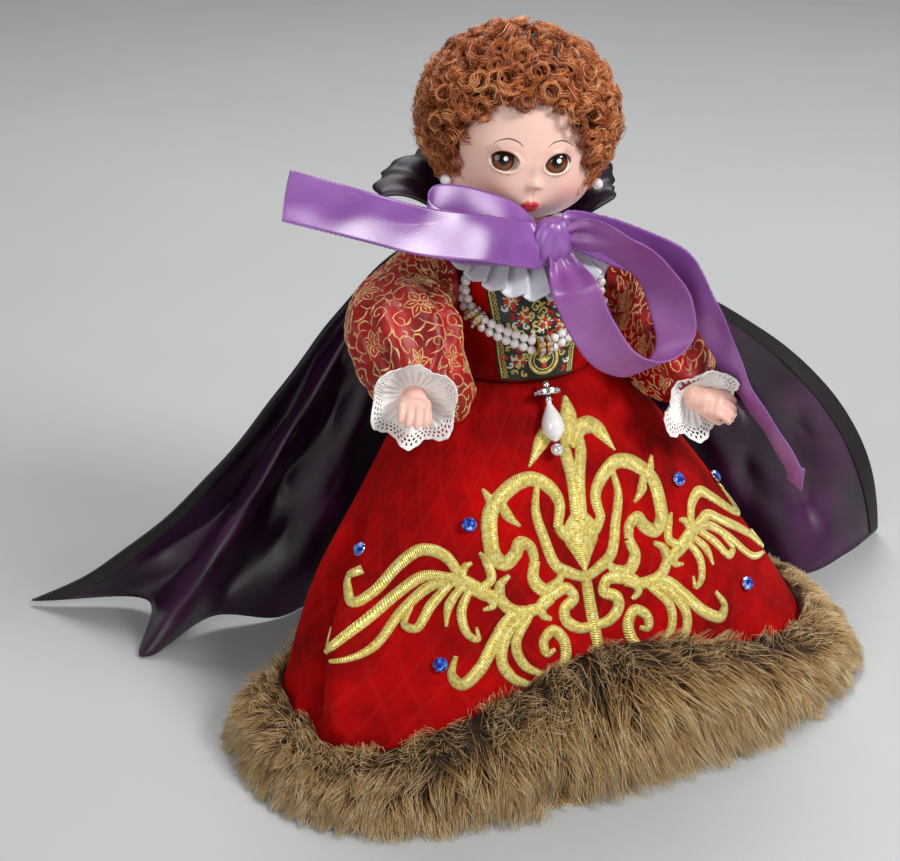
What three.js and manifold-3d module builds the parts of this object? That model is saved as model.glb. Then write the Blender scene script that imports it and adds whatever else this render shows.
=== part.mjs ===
// Costume doll, about 200 mm tall: a strung hard-plastic doll with sleep eyes and a curly wig, dressed in a
// velvet gown with a fur hem, brocade sleeves, a pleated ruff, a lined cape, pearls and a satin bow.
// Millimetres, +Z up, the doll faces -Y, and its own right hand is on the -X side.
import * as THREE from "three";
import { mergeVertices } from "three/addons/utils/BufferGeometryUtils.js";
import Module from "manifold-3d";

const wasm = await Module();
wasm.setup();

// Driving dimensions
const CLEARANCE = 0.3;            // gap between pieces that touch
const CLOTH = 0.8;                // thickness of gown cloth, lining included
const SHELL = 2.0;                // wall of the moulded head and torso

const AXIS_X = -9.4;              // the doll's own upright axis, from the middle of the whole part
const AXIS_Y = -4.7;

const HIP_Z = 84;
const HIP_X = 13.6;
const HIP_WEB = 7;                 // half the width of the torso between the legs
const WAIST_Z = 100;
const SHOULDER_Z = 128;
const SHOULDER_X = 20;
const NECK_Z = 143;
const NECK_RADIUS = 7.6;
const BODY_YAW = -9;              // the body is turned a little to its right inside the gown

const HEAD_CENTRE_Z = NECK_Z + 27;
const HEAD_CENTRE_Y = 2;
const HEAD_WIDTH = 45;
const HEAD_DEPTH = 47;
const HEAD_HEIGHT = 48;
const HEAD_YAW = -15;
const HEAD_PITCH = -3;
const HEAD_ROLL = 5;
const WIG_DIAMETER = HEAD_WIDTH + 13;
const WIG_HEIGHT = HEAD_HEIGHT + 5;   // as far down as the curls would close
const CURL_COUNT = 96;
const CURL_DIAMETER = 9;
const CURL_HEIGHT = 2.2;

const EYE_SPACING = 14.6;
const EYE_DIAMETER = 9.6;
const EYE_OPENING = 6.6;
const EYE_HEIGHT = -0.1146 * HEAD_HEIGHT;   // eyes from the level of the head's centre
const STUD_DIAMETER = 3.2;

const ARM_RADIUS = 4.8;
const WRIST_RADIUS = 3.6;
const UPPER_ARM = 22;
const FOREARM = 27;
const ARM_SPREAD = 24;            // how far the wrist stands out past the shoulder
const HAND_LENGTH = 12;
const RIGHT_ARM_RAISE = 66;
const LEFT_ARM_RAISE = 40;
const SLEEVE_RADIUS = 17;
const ARMHOLE_RADIUS = 12.8;
const ARMHOLE_X = 22;
const CUFF_DIAMETER = 22;
const CUFF_LENGTH = 7;
const CUFF_SCALLOPS = 10;

const LEG_RADIUS = 7;
const ANKLE_RADIUS = 6;
const SHOE_LENGTH = 25;
const SHOE_HEIGHT = 11;
const SOLE_LIFT = 0.5;            // soles clear the floor, the gown's hem carries the doll

const WAIST_WIDTH = 43.6;
const WAIST_DEPTH = 36.8;
const SKIRT_WIDTH = 176;
const SKIRT_DEPTH = 90;
const SKIRT_HEM_Z = 2.5;
const SKIRT_FORWARD = 24;         // how far the hem's middle stands forward of the waist
const SKIRT_FOLDS = 11;
const FOLD_DEPTH = 3.2;
const FUR_HEIGHT = 31;            // in the middle of the front, falling to FUR_LOW at the sides and behind
const FUR_LOW = 14;
const FUR_DEPTH = 13;
const FUR_CREST_WIDTH = 32;
const PETTICOAT_SHARE = 0.84;     // petticoat reach as a share of the skirt's

const RUFF_PLEATS = 14;
const RUFF_PLEAT_HEIGHT = 2.2;
const RUFF_WIDTH = 42;
const RUFF_REACH = 29;            // how far the ruff stands out in front of the neck's axis
const RUFF_DROP = 13;             // how far its front edge falls

const COLLAR_WIDTH = 78;
const COLLAR_RISE = 12;
const COLLAR_SHIFT = 3;           // its edge leans to the doll's right
const COLLAR_PLEATS = 13;

const CAPE_SPAN = 285;            // from one thrown-open edge of the cape to the other

const RIBBON_WIDTH = 12.6;
const RIBBON_THICKNESS = 0.5;
const RIBBON_GATHER = 0.6;        // share of its width at the knot
const KNOT = new THREE.Vector3(-2.6, -23.5, 144);
const KNOT_SIZE = new THREE.Vector3(11, 8, 14);

const PEARL_DIAMETER = 2.7;
const RONDELLE_DIAMETER = 5;
const DROP_LENGTH = 13;
const DROP_DIAMETER = 5.6;
const BEAD_DIAMETER = 3.6;        // the clear bead under the drop
const STONE_DIAMETER = 4.4;
const STONE_HEIGHT = 1.8;

const ELASTIC_DIAMETER = 2;
const HOOK_DIAMETER = 5;

// Small helpers
const rad = THREE.MathUtils.degToRad;
const lerp = THREE.MathUtils.lerp;
const smooth = (value, low, high) => THREE.MathUtils.smoothstep(value, low, high);
const vec = (x, y, z) => new THREE.Vector3(x, y, z);
const UP = vec(0, 0, 1);

const finish = (color, roughness, metalness = 0) =>
  new THREE.MeshStandardMaterial({ color, roughness, metalness });

const SKIN = finish("#f2c9b4", 0.45);
const HAIR = finish("#a4522a", 0.6);
const EYE_GLASS = finish("#6b3f1c", 0.1);
const LEAD = finish("#6f7276", 0.5, 1);
const BRASS = finish("#b08d3c", 0.35, 1);
const ELASTIC = finish("#d8d2c4", 0.8);
const PEARL = finish("#f0ebe2", 0.2);
const CRYSTAL = finish("#d9dde4", 0.15, 0.6);
const BLUE_STONE = finish("#1f4fae", 0.1);
const VELVET = finish("#a30f17", 0.85);
const BROCADE = finish("#b3151b", 0.4);
const JACQUARD = finish("#1d2620", 0.6);
const LACE = finish("#f2f2f4", 0.8);
const COTTON = finish("#eeeae2", 0.9);
const FUR = finish("#6d5130", 0.95);
const BLACK_CLOTH = finish("#17131a", 0.7);
const SATIN = finish("#8d63bd", 0.35);
const SHOE = finish("#1b1719", 0.4);

const doll = new THREE.Group();
const body = new THREE.Group();
body.rotation.z = rad(BODY_YAW);
doll.add(body);

function place(name, geometry, material, parent = doll) {
  const mesh = new THREE.Mesh(geometry, material);
  mesh.name = name;
  parent.add(mesh);
  return mesh;
}

// A closed solid from stacked loops of points, with a flat fan on each end
function loft(loops) {
  const count = loops[0].length;
  const positions = [];
  const index = [];
  loops.forEach((loop) => loop.forEach((p) => positions.push(p.x, p.y, p.z)));
  for (let i = 0; i + 1 < loops.length; i += 1) {
    for (let j = 0; j < count; j += 1) {
      const a = i * count + j;
      const b = i * count + ((j + 1) % count);
      index.push(a, b, b + count, a, b + count, a + count);
    }
  }
  const cap = (loop, start, flipped) => {
    const middle = loop.reduce((sum, p) => sum.add(p), vec(0, 0, 0)).divideScalar(count);
    const centre = positions.length / 3;
    positions.push(middle.x, middle.y, middle.z);
    for (let j = 0; j < count; j += 1) {
      const next = (j + 1) % count;
      if (flipped) index.push(centre, start + next, start + j);
      else index.push(centre, start + j, start + next);
    }
  };
  cap(loops[0], 0, true);
  cap(loops[loops.length - 1], (loops.length - 1) * count, false);
  return outward(positions, index);
}

function outward(positions, index) {
  const geometry = new THREE.BufferGeometry();
  geometry.setAttribute("position", new THREE.Float32BufferAttribute(positions, 3));
  const a = vec();
  const b = vec();
  const c = vec();
  let volume = 0;
  for (let i = 0; i < index.length; i += 3) {
    a.fromArray(positions, index[i] * 3);
    b.fromArray(positions, index[i + 1] * 3);
    c.fromArray(positions, index[i + 2] * 3);
    volume += a.dot(b.cross(c));
  }
  geometry.setIndex(volume > 0 ? index : index.map((_, i) => index[i - (i % 3) + [0, 2, 1][i % 3]]));
  geometry.computeVertexNormals();
  return geometry;
}

// A sheet of cloth: pointAt(u, v) is its middle surface, closed when u comes back to its start
function sheet(pointAt, columns, rows, thickness, closed = false) {
  const width = closed ? columns : columns + 1;
  const step = 0.002;
  const faces = [1, -1].map((side) => {
    const points = [];
    for (let j = 0; j <= rows; j += 1) {
      for (let i = 0; i < width; i += 1) {
        const u = i / columns;
        const v = j / rows;
        const low = Math.max(v - step, 0);
        const high = Math.min(v + step, 1);
        const left = closed ? u - step : Math.max(u - step, 0);
        const right = closed ? u + step : Math.min(u + step, 1);
        const along = pointAt(right, v).sub(pointAt(left, v));
        const down = pointAt(u, high).sub(pointAt(u, low));
        const normal = along.cross(down).normalize();
        points.push(pointAt(u, v).addScaledVector(normal, (side * thickness) / 2));
      }
    }
    return points;
  });
  const positions = [];
  faces.flat().forEach((p) => positions.push(p.x, p.y, p.z));
  const index = [];
  const half = faces[0].length;
  const at = (face, i, j) => face * half + j * width + (closed ? i % columns : i);
  const quad = (a, b, c, d) => index.push(a, b, c, a, c, d);
  for (let j = 0; j < rows; j += 1) {
    for (let i = 0; i < columns; i += 1) {
      quad(at(0, i, j), at(0, i, j + 1), at(0, i + 1, j + 1), at(0, i + 1, j));
      quad(at(1, i, j), at(1, i + 1, j), at(1, i + 1, j + 1), at(1, i, j + 1));
    }
  }
  for (let i = 0; i < columns; i += 1) {
    quad(at(0, i, 0), at(0, i + 1, 0), at(1, i + 1, 0), at(1, i, 0));
    quad(at(0, i, rows), at(1, i, rows), at(1, i + 1, rows), at(0, i + 1, rows));
  }
  if (!closed) {
    for (let j = 0; j < rows; j += 1) {
      quad(at(0, 0, j), at(1, 0, j), at(1, 0, j + 1), at(0, 0, j + 1));
      quad(at(0, columns, j), at(0, columns, j + 1), at(1, columns, j + 1), at(1, columns, j));
    }
  }
  return outward(positions, index);
}

// A round limb along a curve, with its own radius at each share of the way
function limb(curve, radiusAt, steps, sides, flatten = 1) {
  const frames = curve.computeFrenetFrames(steps, false);
  const loops = [];
  for (let i = 0; i <= steps; i += 1) {
    const centre = curve.getPointAt(i / steps);
    const radius = radiusAt(i / steps);
    const loop = [];
    for (let j = 0; j < sides; j += 1) {
      const angle = (j / sides) * 2 * Math.PI;
      const p = centre.clone();
      p.addScaledVector(frames.normals[i], radius * flatten * Math.cos(angle));
      p.addScaledVector(frames.binormals[i], radius * Math.sin(angle));
      loop.push(p);
    }
    loops.push(loop);
  }
  return loft(loops);
}

// Level loops of an oval body: rows of [height, half width, half depth, forward shift]
function ovalBody(rows, sides, grow = 0) {
  return loft(rows.map(([z, halfWidth, halfDepth, shift = 0]) => {
    const loop = [];
    for (let j = 0; j < sides; j += 1) {
      const angle = (j / sides) * 2 * Math.PI;
      const x = (halfWidth + grow) * Math.cos(angle);
      const y = (halfDepth + grow) * Math.sin(angle) - shift;
      loop.push(vec(x, y, z));
    }
    return loop;
  }));
}

// Joining and cutting
function toSolid(geometry) {
  const bare = geometry.clone();
  Object.keys(bare.attributes).filter((key) => key !== "position")
    .forEach((key) => bare.deleteAttribute(key));
  const merged = mergeVertices(bare, 1e-4);
  return new wasm.Manifold(new wasm.Mesh({
    numProp: 3,
    vertProperties: new Float32Array(merged.attributes.position.array),
    triVerts: new Uint32Array(merged.index.array),
  }));
}

function toGeometry(solid) {
  const mesh = solid.getMesh();
  const geometry = new THREE.BufferGeometry();
  geometry.setAttribute("position", new THREE.Float32BufferAttribute(mesh.vertProperties, 3));
  geometry.setIndex([...mesh.triVerts]);
  geometry.computeVertexNormals();
  return geometry;
}

const cut = (geometry, ...tools) =>
  toGeometry(tools.reduce((solid, tool) => solid.subtract(toSolid(tool)), toSolid(geometry)));
const keep = (geometry, tool) => toGeometry(toSolid(geometry).intersect(toSolid(tool)));
const join = (geometry, ...others) =>
  toGeometry(others.reduce((solid, other) => solid.add(toSolid(other)), toSolid(geometry)));

const block = (x, y, z, width, depth, height) =>
  new THREE.BoxGeometry(width, depth, height).translate(x, y, z);
const ball = (x, y, z, radius, across = 16, up = 10) =>
  new THREE.SphereGeometry(radius, across, up).rotateX(Math.PI / 2).translate(x, y, z);
const rod = (start, end, radius, sides = 10) => {
  const along = end.clone().sub(start);
  const geometry = new THREE.CylinderGeometry(radius, radius, along.length(), sides);
  const turn = new THREE.Quaternion().setFromUnitVectors(vec(0, 1, 0), along.clone().normalize());
  geometry.applyQuaternion(turn);
  return geometry.translate(...start.clone().add(end).divideScalar(2).toArray());
};

// Torso: two moulded halves joined at the side seams, with a web between the legs
const HIP_TOP = HIP_Z + LEG_RADIUS + 1.6;
const TORSO_SIDE = SHOULDER_X - 0.6;
const TORSO_ROWS = [
  [HIP_Z - 6, HIP_WEB, 6], [HIP_TOP - 0.6, HIP_WEB, 10], [HIP_TOP, 15.5, 12], [WAIST_Z, 17, 12.5],
  [WAIST_Z + 16, 18, 13], [SHOULDER_Z, TORSO_SIDE, 12.5], [SHOULDER_Z + 6, 15.5, 10.5],
  [NECK_Z - 4, NECK_RADIUS + 1.2, NECK_RADIUS + 1], [NECK_Z, NECK_RADIUS, NECK_RADIUS],
];
const HOOK_STEM = 1.2;
const HOOK_FLANGE = 1.6;
const STRING_HOLE = HOOK_STEM + 0.6;
const TORSO_SIDES = 14;

function torso() {
  const outer = ovalBody(TORSO_ROWS, TORSO_SIDES);
  const hollowRows = TORSO_ROWS.map(([z, width, depth]) => [z < WAIST_Z ? z + SHELL : z, width, depth]);
  const hollow = ovalBody(hollowRows, TORSO_SIDES, -SHELL);
  const neckOpening = rod(vec(0, 0, NECK_Z - 6), vec(0, 0, NECK_Z + 6), NECK_RADIUS - SHELL);
  const stringHoles = [-1, 1].flatMap((side) => [
    rod(vec(side * 12, 0, SHOULDER_Z), vec(side * 30, 0, SHOULDER_Z), STRING_HOLE),
    rod(vec(side * 2, 0, HIP_Z), vec(side * 20, 0, HIP_Z), STRING_HOLE),
  ]);
  const whole = cut(outer, hollow, neckOpening, ...stringHoles);
  const far = 60;
  const half = (side) => block(0, side * (far + CLEARANCE) / 2, HIP_Z + 30, 100, far, 120);
  place("torso_front", keep(whole, half(-1)), SKIN, body);
  place("torso_back", keep(whole, half(1)), SKIN, body);
}
torso();

// Stringing: a hook on each limb and on the head, drawn together by elastic inside the torso
function hook(face, tip) {
  const flange = tip.clone().lerp(face, HOOK_FLANGE / tip.distanceTo(face));
  return join(rod(face, tip, HOOK_STEM), rod(flange, tip, HOOK_DIAMETER / 2));
}

const ARM_FACE = SHOULDER_X + 0.2;
const ARM_HOOK_TIP = 14;
const LEG_FACE = HIP_WEB + CLEARANCE;
const LEG_HOOK_TIP = 2.2;
const NECK_HOOK_TIP = NECK_Z - 8;

function strings() {
  const armReach = ARM_HOOK_TIP - CLEARANCE;
  const radius = ELASTIC_DIAMETER / 2;
  const across = (reach, z) => rod(vec(-reach, 0, z), vec(reach, 0, z), radius, 8);
  place("arm_elastic", across(armReach, SHOULDER_Z), ELASTIC, body);
  const legReach = LEG_HOOK_TIP - CLEARANCE;
  place("leg_elastic", across(legReach, HIP_Z), ELASTIC, body);
  const section = new THREE.Shape().absarc(0, 0, radius, 0, 2 * Math.PI);
  const route = new THREE.CatmullRomCurve3([
    vec(0, 0, NECK_HOOK_TIP - CLEARANCE), vec(0, 0.4, NECK_HOOK_TIP - 1.6), vec(0, 3.4, SHOULDER_Z + 1),
    vec(0, 2, WAIST_Z + 4), vec(0, 0, HIP_Z + radius + CLEARANCE),
  ]);
  const elastic = new THREE.ExtrudeGeometry(section, { steps: 14, curveSegments: 3, extrudePath: route });
  place("neck_elastic", elastic, ELASTIC, body);
}
strings();

// Head: a moulded shell in a face half and a back half, tipped back and turned a little to one side
const head = new THREE.Group();
head.position.set(0, HEAD_CENTRE_Y, HEAD_CENTRE_Z);
head.rotation.set(rad(HEAD_PITCH), rad(HEAD_ROLL), rad(HEAD_YAW), "ZXY");
head.updateMatrix();
doll.add(head);
const intoHead = head.matrix.clone().invert();

// Skin of the head, with round cheeks and a small chin, grown or shrunk by an offset
function headForm(offset, across = 18, up = 12) {
  const geometry = new THREE.SphereGeometry(1, across, up).rotateX(Math.PI / 2);
  const spots = geometry.attributes.position;
  for (let i = 0; i < spots.count; i += 1) {
    const p = vec().fromBufferAttribute(spots, i);
    const low = Math.max(-p.z, 0);
    const front = Math.max(-p.y, 0);
    const cheek = 1 + 0.1 * front * Math.exp(-(((p.z + 0.35) / 0.3) ** 2));
    const jaw = 1 - 0.1 * low * low;
    p.x *= (HEAD_WIDTH / 2 + offset) * cheek * jaw;
    p.y *= (HEAD_DEPTH / 2 + offset) * (1 + 0.12 * low * front - 0.12 * low * (1 - front));
    p.z *= HEAD_HEIGHT / 2 + offset;
    spots.setXYZ(i, p.x, p.y, p.z);
  }
  return geometry;
}

// Distance from the head's centre to its skin along a direction
function headReach(direction) {
  const inverse = (direction.x / (HEAD_WIDTH / 2)) ** 2 + (direction.y / (HEAD_DEPTH / 2)) ** 2
    + (direction.z / (HEAD_HEIGHT / 2)) ** 2;
  return 1 / Math.sqrt(inverse);
}

// Front of the face at a place across and up
function faceFront(x, z) {
  const low = Math.max(-z, 0) / (HEAD_HEIGHT / 2);
  const front = Math.sqrt(1 - (x / (HEAD_WIDTH / 2)) ** 2 - (z / (HEAD_HEIGHT / 2)) ** 2);
  return -front * (HEAD_DEPTH / 2) * (1 + 0.12 * low * front);
}

const EYE_SOCKET = EYE_DIAMETER / 2 + CLEARANCE;
const EYE_SINK = Math.sqrt(EYE_SOCKET ** 2 - (EYE_OPENING / 2) ** 2);
const EYE_Y = faceFront(EYE_SPACING / 2, EYE_HEIGHT) + EYE_SINK;
const NECK_GAP_Z = NECK_Z + CLEARANCE;

function headShell() {
  const stub = rod(vec(0, 0, NECK_GAP_Z), vec(0, 0, HEAD_CENTRE_Z - 18), NECK_RADIUS, 16);
  const bore = rod(vec(0, 0, NECK_GAP_Z + SHELL), vec(0, 0, HEAD_CENTRE_Z - 12), NECK_RADIUS - SHELL, 16);
  const wire = rod(vec(0, 0, NECK_GAP_Z - 4), vec(0, 0, NECK_GAP_Z + 6), STRING_HOLE);
  const noseZ = EYE_HEIGHT - 6.5;
  const nose = ball(0, faceFront(0, noseZ) + 0.6, noseZ, 1.9, 8, 6);
  const sockets = [-1, 1].map((side) =>
    ball(side * EYE_SPACING / 2, EYE_Y, EYE_HEIGHT, EYE_SOCKET + 0.1, 12, 8));
  const solid = join(headForm(0), stub.applyMatrix4(intoHead), nose);
  const whole = cut(solid, headForm(-SHELL, 12, 8), bore.applyMatrix4(intoHead), wire.applyMatrix4(intoHead),
    ...sockets);
  const far = 80;
  const seamY = 1.5;
  const half = (side) => block(0, seamY + side * (far + CLEARANCE) / 2, 0, 120, far, 120);
  place("head_face", keep(whole, half(-1)), SKIN, head);
  place("head_back", keep(whole, half(1)), SKIN, head);
  place("neck_hook", hook(vec(0, 0, NECK_GAP_Z + SHELL - CLEARANCE), vec(0, 0, NECK_HOOK_TIP)), BRASS);
}
headShell();

// Sleep eyes: two glass balls on one bridge, with a weight that hangs behind and below it
function sleepEyes() {
  [["eye_right", -1], ["eye_left", 1]].forEach(([name, side]) => {
    place(name, ball(side * EYE_SPACING / 2, EYE_Y, EYE_HEIGHT, EYE_DIAMETER / 2, 12, 8), EYE_GLASS, head);
  });
  const inner = EYE_SPACING / 2 - EYE_DIAMETER / 2 - CLEARANCE;
  const axle = rod(vec(-inner, EYE_Y, EYE_HEIGHT), vec(inner, EYE_Y, EYE_HEIGHT), 0.9, 8);
  const weightAt = vec(0, EYE_Y + HEAD_DEPTH / 9.4, EYE_HEIGHT - HEAD_HEIGHT / 6);
  const arm = rod(vec(0, EYE_Y, EYE_HEIGHT), weightAt, 0.8, 8);
  const weight = ball(...weightAt.toArray(), 2.6, 8, 6);
  place("eye_weight", join(axle, arm, weight), LEAD, head);
}
sleepEyes();

// Pearl ear studs on the sides of the cheeks
const STUD_DIRECTION = vec(0.78, -0.36, -0.5).normalize();
const studPlace = (side) => {
  const reach = headReach(STUD_DIRECTION) + STUD_DIAMETER / 2 + CLEARANCE + 0.7;
  return vec(side * STUD_DIRECTION.x, STUD_DIRECTION.y, STUD_DIRECTION.z).multiplyScalar(reach);
};

// Wig: a cap of short curls, open over the face
const WIG_CENTRE = vec(0, 2.2, 2.2);
const FACE_OPENING = vec(HEAD_WIDTH / 2 - 1.5, 20, HEAD_HEIGHT / 2 - 5);
const FACE_OPENING_AT = vec(0, -HEAD_DEPTH / 2 - 2.5, EYE_HEIGHT - 4.5);
const WIG_HEM = 2 - HEAD_HEIGHT / 2;
const WIG_GAP = 1.1;              // the net cap's thickness, between the skin and the curls

function wig() {
  const geometry = new THREE.SphereGeometry(1, 40, 22).rotateX(Math.PI / 2);
  const spots = geometry.attributes.position;
  const golden = Math.PI * (3 - Math.sqrt(5));
  const curls = Array.from({ length: CURL_COUNT }, (_, i) => {
    const z = 1 - (2 * i + 1) / CURL_COUNT;
    const ring = Math.sqrt(1 - z * z);
    return vec(ring * Math.cos(golden * i), ring * Math.sin(golden * i), z);
  });
  const spread = CURL_DIAMETER / WIG_DIAMETER;
  for (let i = 0; i < spots.count; i += 1) {
    const p = vec().fromBufferAttribute(spots, i);
    const nearest = Math.min(...curls.map((curl) => curl.distanceTo(p)));
    const bump = CURL_HEIGHT * Math.max(0, 1 - (nearest / spread) ** 2);
    p.multiplyScalar(WIG_DIAMETER / 2 - CURL_HEIGHT / 2 + bump);
    p.z *= WIG_HEIGHT / WIG_DIAMETER;
    p.add(WIG_CENTRE);
    spots.setXYZ(i, p.x, p.y, p.z);
  }
  const face = new THREE.SphereGeometry(1, 20, 14).scale(...FACE_OPENING.toArray());
  face.translate(...FACE_OPENING_AT.toArray());
  const below = block(0, 0, WIG_HEM - 30, 120, 120, 60);
  const nape = rod(vec(0, -30, -24), vec(0, 3, -20), 11);
  const studs = [-1, 1].map((side) => ball(...studPlace(side).toArray(), STUD_DIAMETER / 2 + 0.8, 10, 8));
  place("wig", cut(geometry, headForm(WIG_GAP, 16, 10), face, below, nape, ...studs), HAIR, head);
  [["ear_stud_right", -1], ["ear_stud_left", 1]].forEach(([name, side]) => {
    place(name, ball(...studPlace(side).toArray(), STUD_DIAMETER / 2, 8, 6), PEARL, head);
  });
}
wig();

// Arms, each in a group that turns about the shoulder: the path is written for the doll's left side
const WRIST = vec(SHOULDER_X + ARM_SPREAD, -1, -(UPPER_ARM + FOREARM) + 3);
const ELBOW = vec(SHOULDER_X + 17, 4, -UPPER_ARM);
const FOREARM_LINE = WRIST.clone().sub(ELBOW).normalize();
const FINGERTIP = WRIST.clone().addScaledVector(FOREARM_LINE, HAND_LENGTH);
const mirrored = (p, side) => vec(p.x * side, p.y, p.z);
const SHOULDER_CAP = 7;

function armSolid(side) {
  const path = [vec(ARM_FACE + 5, 0, 0), vec(SHOULDER_X + 11, 2, -9), ELBOW, WRIST, FINGERTIP];
  const curve = new THREE.CatmullRomCurve3(path.map((p) => mirrored(p, side)));
  const handStart = 0.8;
  const radius = (share) => {
    if (share > handStart) {
      const along = (share - handStart) / (1 - handStart);
      return WRIST_RADIUS * (1 + 0.35 * Math.sin(Math.PI * along)) * Math.sqrt(1.04 - along ** 3);
    }
    return lerp(ARM_RADIUS, WRIST_RADIUS, share / handStart);
  };
  const cap = rod(vec(side * ARM_FACE, 0, 0), vec(side * (ARM_FACE + 6), 0, 0), SHOULDER_CAP, 16);
  const inside = block(0, 0, 0, 2 * ARM_FACE, 60, 60);
  return cut(join(limb(curve, radius, 14, 10), cap), inside);
}

// A frame of two directions square to a line, one of them close to the Y axis
function acrossFrame(line) {
  const first = vec(0, 1, 0).addScaledVector(line, -line.y).normalize();
  return [first, line.clone().cross(first).normalize()];
}

// Sleeve: set in a round armhole, full above the wrist and gathered into the cuff
const SLEEVE_END = WRIST.clone().addScaledVector(FOREARM_LINE, -3);
const SLEEVE_FULL = 0.62;
const SLEEVE_INNER_SLOPE = 14;    // the side next to the body is pressed flat and leans out with the skirt
const SLEEVE_WRIST = WRIST_RADIUS + 2;

function sleevePoint(u, v, side) {
  const route = new THREE.CubicBezierCurve3(
    vec(ARMHOLE_X + CLOTH / 2, 0, 0), vec(ARMHOLE_X + 15, 3, -2), vec(ARMHOLE_X + 19, 5, -24), SLEEVE_END);
  const turn = smooth(v, 0, 0.8);
  const line = vec(1, 0, 0).lerp(FOREARM_LINE, turn).normalize();
  const [first, second] = acrossFrame(line);
  const gather = Math.cos(((v - SLEEVE_FULL) / (1 - SLEEVE_FULL)) * Math.PI / 2);
  const radius = v < SLEEVE_FULL
    ? lerp(ARMHOLE_RADIUS, SLEEVE_RADIUS, Math.sin((v / SLEEVE_FULL) * Math.PI / 2))
    : lerp(SLEEVE_WRIST, SLEEVE_RADIUS, Math.max(gather, 0) ** 0.8);
  const angle = 2 * Math.PI * u;
  const p = route.getPoint(v);
  p.addScaledVector(first, radius * Math.cos(angle)).addScaledVector(second, radius * Math.sin(angle));
  p.x = Math.max(p.x, ARMHOLE_X + CLOTH / 2 + SLEEVE_INNER_SLOPE * v ** 1.5);
  return mirrored(p, side);
}

// Cuff: a lace frill with a scalloped edge, flaring from the wrist
const CUFF_START = SLEEVE_END.clone().addScaledVector(FOREARM_LINE, CLEARANCE + CLOTH / 2);

function cuffPoint(u, v, side) {
  const angle = 2 * Math.PI * u;
  const [first, second] = acrossFrame(FOREARM_LINE);
  const scallop = 0.8 * v * Math.cos(CUFF_SCALLOPS * angle);
  const radius = lerp(WRIST_RADIUS + 1.6, CUFF_DIAMETER / 2, v ** 0.8) + scallop;
  const p = CUFF_START.clone().addScaledVector(FOREARM_LINE, CUFF_LENGTH * v ** 1.4);
  p.addScaledVector(first, radius * Math.cos(angle)).addScaledVector(second, radius * Math.sin(angle));
  return mirrored(p, side);
}

function arm(name, side, raise) {
  const group = new THREE.Group();
  group.position.z = SHOULDER_Z;
  group.rotation.x = rad(-raise);
  body.add(group);
  place(`arm_${name}`, armSolid(side), SKIN, group);
  const pin = hook(vec(side * (ARM_FACE - CLEARANCE), 0, 0), vec(side * ARM_HOOK_TIP, 0, 0));
  place(`arm_hook_${name}`, pin, BRASS, group);
  place(`sleeve_${name}`, sheet((u, v) => sleevePoint(u, v, side), 12, 8, CLOTH, true), BROCADE, group);
  const scallopColumns = 2 * CUFF_SCALLOPS;
  const cuff = sheet((u, v) => cuffPoint(u, v, side), scallopColumns, 2, CLOTH / 2, true);
  place(`cuff_${name}`, cuff, LACE, group);
}
arm("right", -1, RIGHT_ARM_RAISE);
arm("left", 1, LEFT_ARM_RAISE);

// Legs and strapless shoes, hidden by the gown
const SHOE_CENTRE_Z = SOLE_LIFT + SHOE_HEIGHT / 2;
const SHOE_FORWARD = 4.5;

function leg(name, side) {
  const x = side * HIP_X;
  const outerFlat = HIP_X - LEG_FACE;
  const rows = [
    [SHOE_CENTRE_Z, ANKLE_RADIUS - 1.4, ANKLE_RADIUS - 1.4],
    [SHOE_HEIGHT + 6, ANKLE_RADIUS - 0.8, ANKLE_RADIUS - 0.8],
    [HIP_Z * 0.42, ANKLE_RADIUS, ANKLE_RADIUS], [HIP_Z * 0.8, LEG_RADIUS - 0.3, LEG_RADIUS - 0.2],
    [HIP_Z, outerFlat, LEG_RADIUS], [HIP_Z + LEG_RADIUS * 0.7, outerFlat, LEG_RADIUS * 0.7],
    [HIP_Z + LEG_RADIUS * 0.95, outerFlat * 0.8, LEG_RADIUS * 0.2],
  ];
  const inside = block(0, 0, HIP_Z, 2 * LEG_FACE, 60, 60);
  const foot = (grow) => new THREE.SphereGeometry(1, 10, 7).rotateX(Math.PI / 2)
    .scale(ANKLE_RADIUS - 1.2 + grow, SHOE_LENGTH / 2 - 1.5 + grow, SHOE_HEIGHT / 2 - 1.2 + grow)
    .translate(x, -SHOE_FORWARD, SHOE_CENTRE_Z);
  const calf = ovalBody(rows, 14).translate(x, 0, 0);
  place(`leg_${name}`, cut(join(calf, foot(0)), inside), SKIN, body);
  const pin = hook(vec(side * (LEG_FACE - CLEARANCE), 0, HIP_Z), vec(side * LEG_HOOK_TIP, 0, HIP_Z));
  place(`leg_hook_${name}`, pin, BRASS, body);
  const below = block(x, 0, SOLE_LIFT - 10, 60, 60, 20);
  const throat = block(x, -SHOE_FORWARD + 3, SHOE_HEIGHT + 8.5 + SOLE_LIFT, 60, 60, 20);
  const ankle = ovalBody(rows.slice(0, 3), 14, CLEARANCE).translate(x, 0, 0);
  place(`shoe_${name}`, cut(foot(1.2), foot(CLEARANCE), ankle, below, throat), SHOE, body);
}
leg("right", -1);
leg("left", 1);

// Bodice: fitted velvet over the torso, with flat armholes and a jacquard front panel
const BODICE_ROWS = [
  [WAIST_Z + CLEARANCE, 21.5, 17.5, 1], [WAIST_Z + 8, 20.5, 16.5, 1.5], [WAIST_Z + 18, 22.5, 17, 2],
  [SHOULDER_Z, 24, 15.5, 1], [SHOULDER_Z + 6, 20, 13.2, 0], [NECK_Z - 5, 12.6, 11, 0],
  [NECK_Z - 2.5, 10.4, 10, 0],
];
const PANEL_WIDTH = 25;

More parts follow.
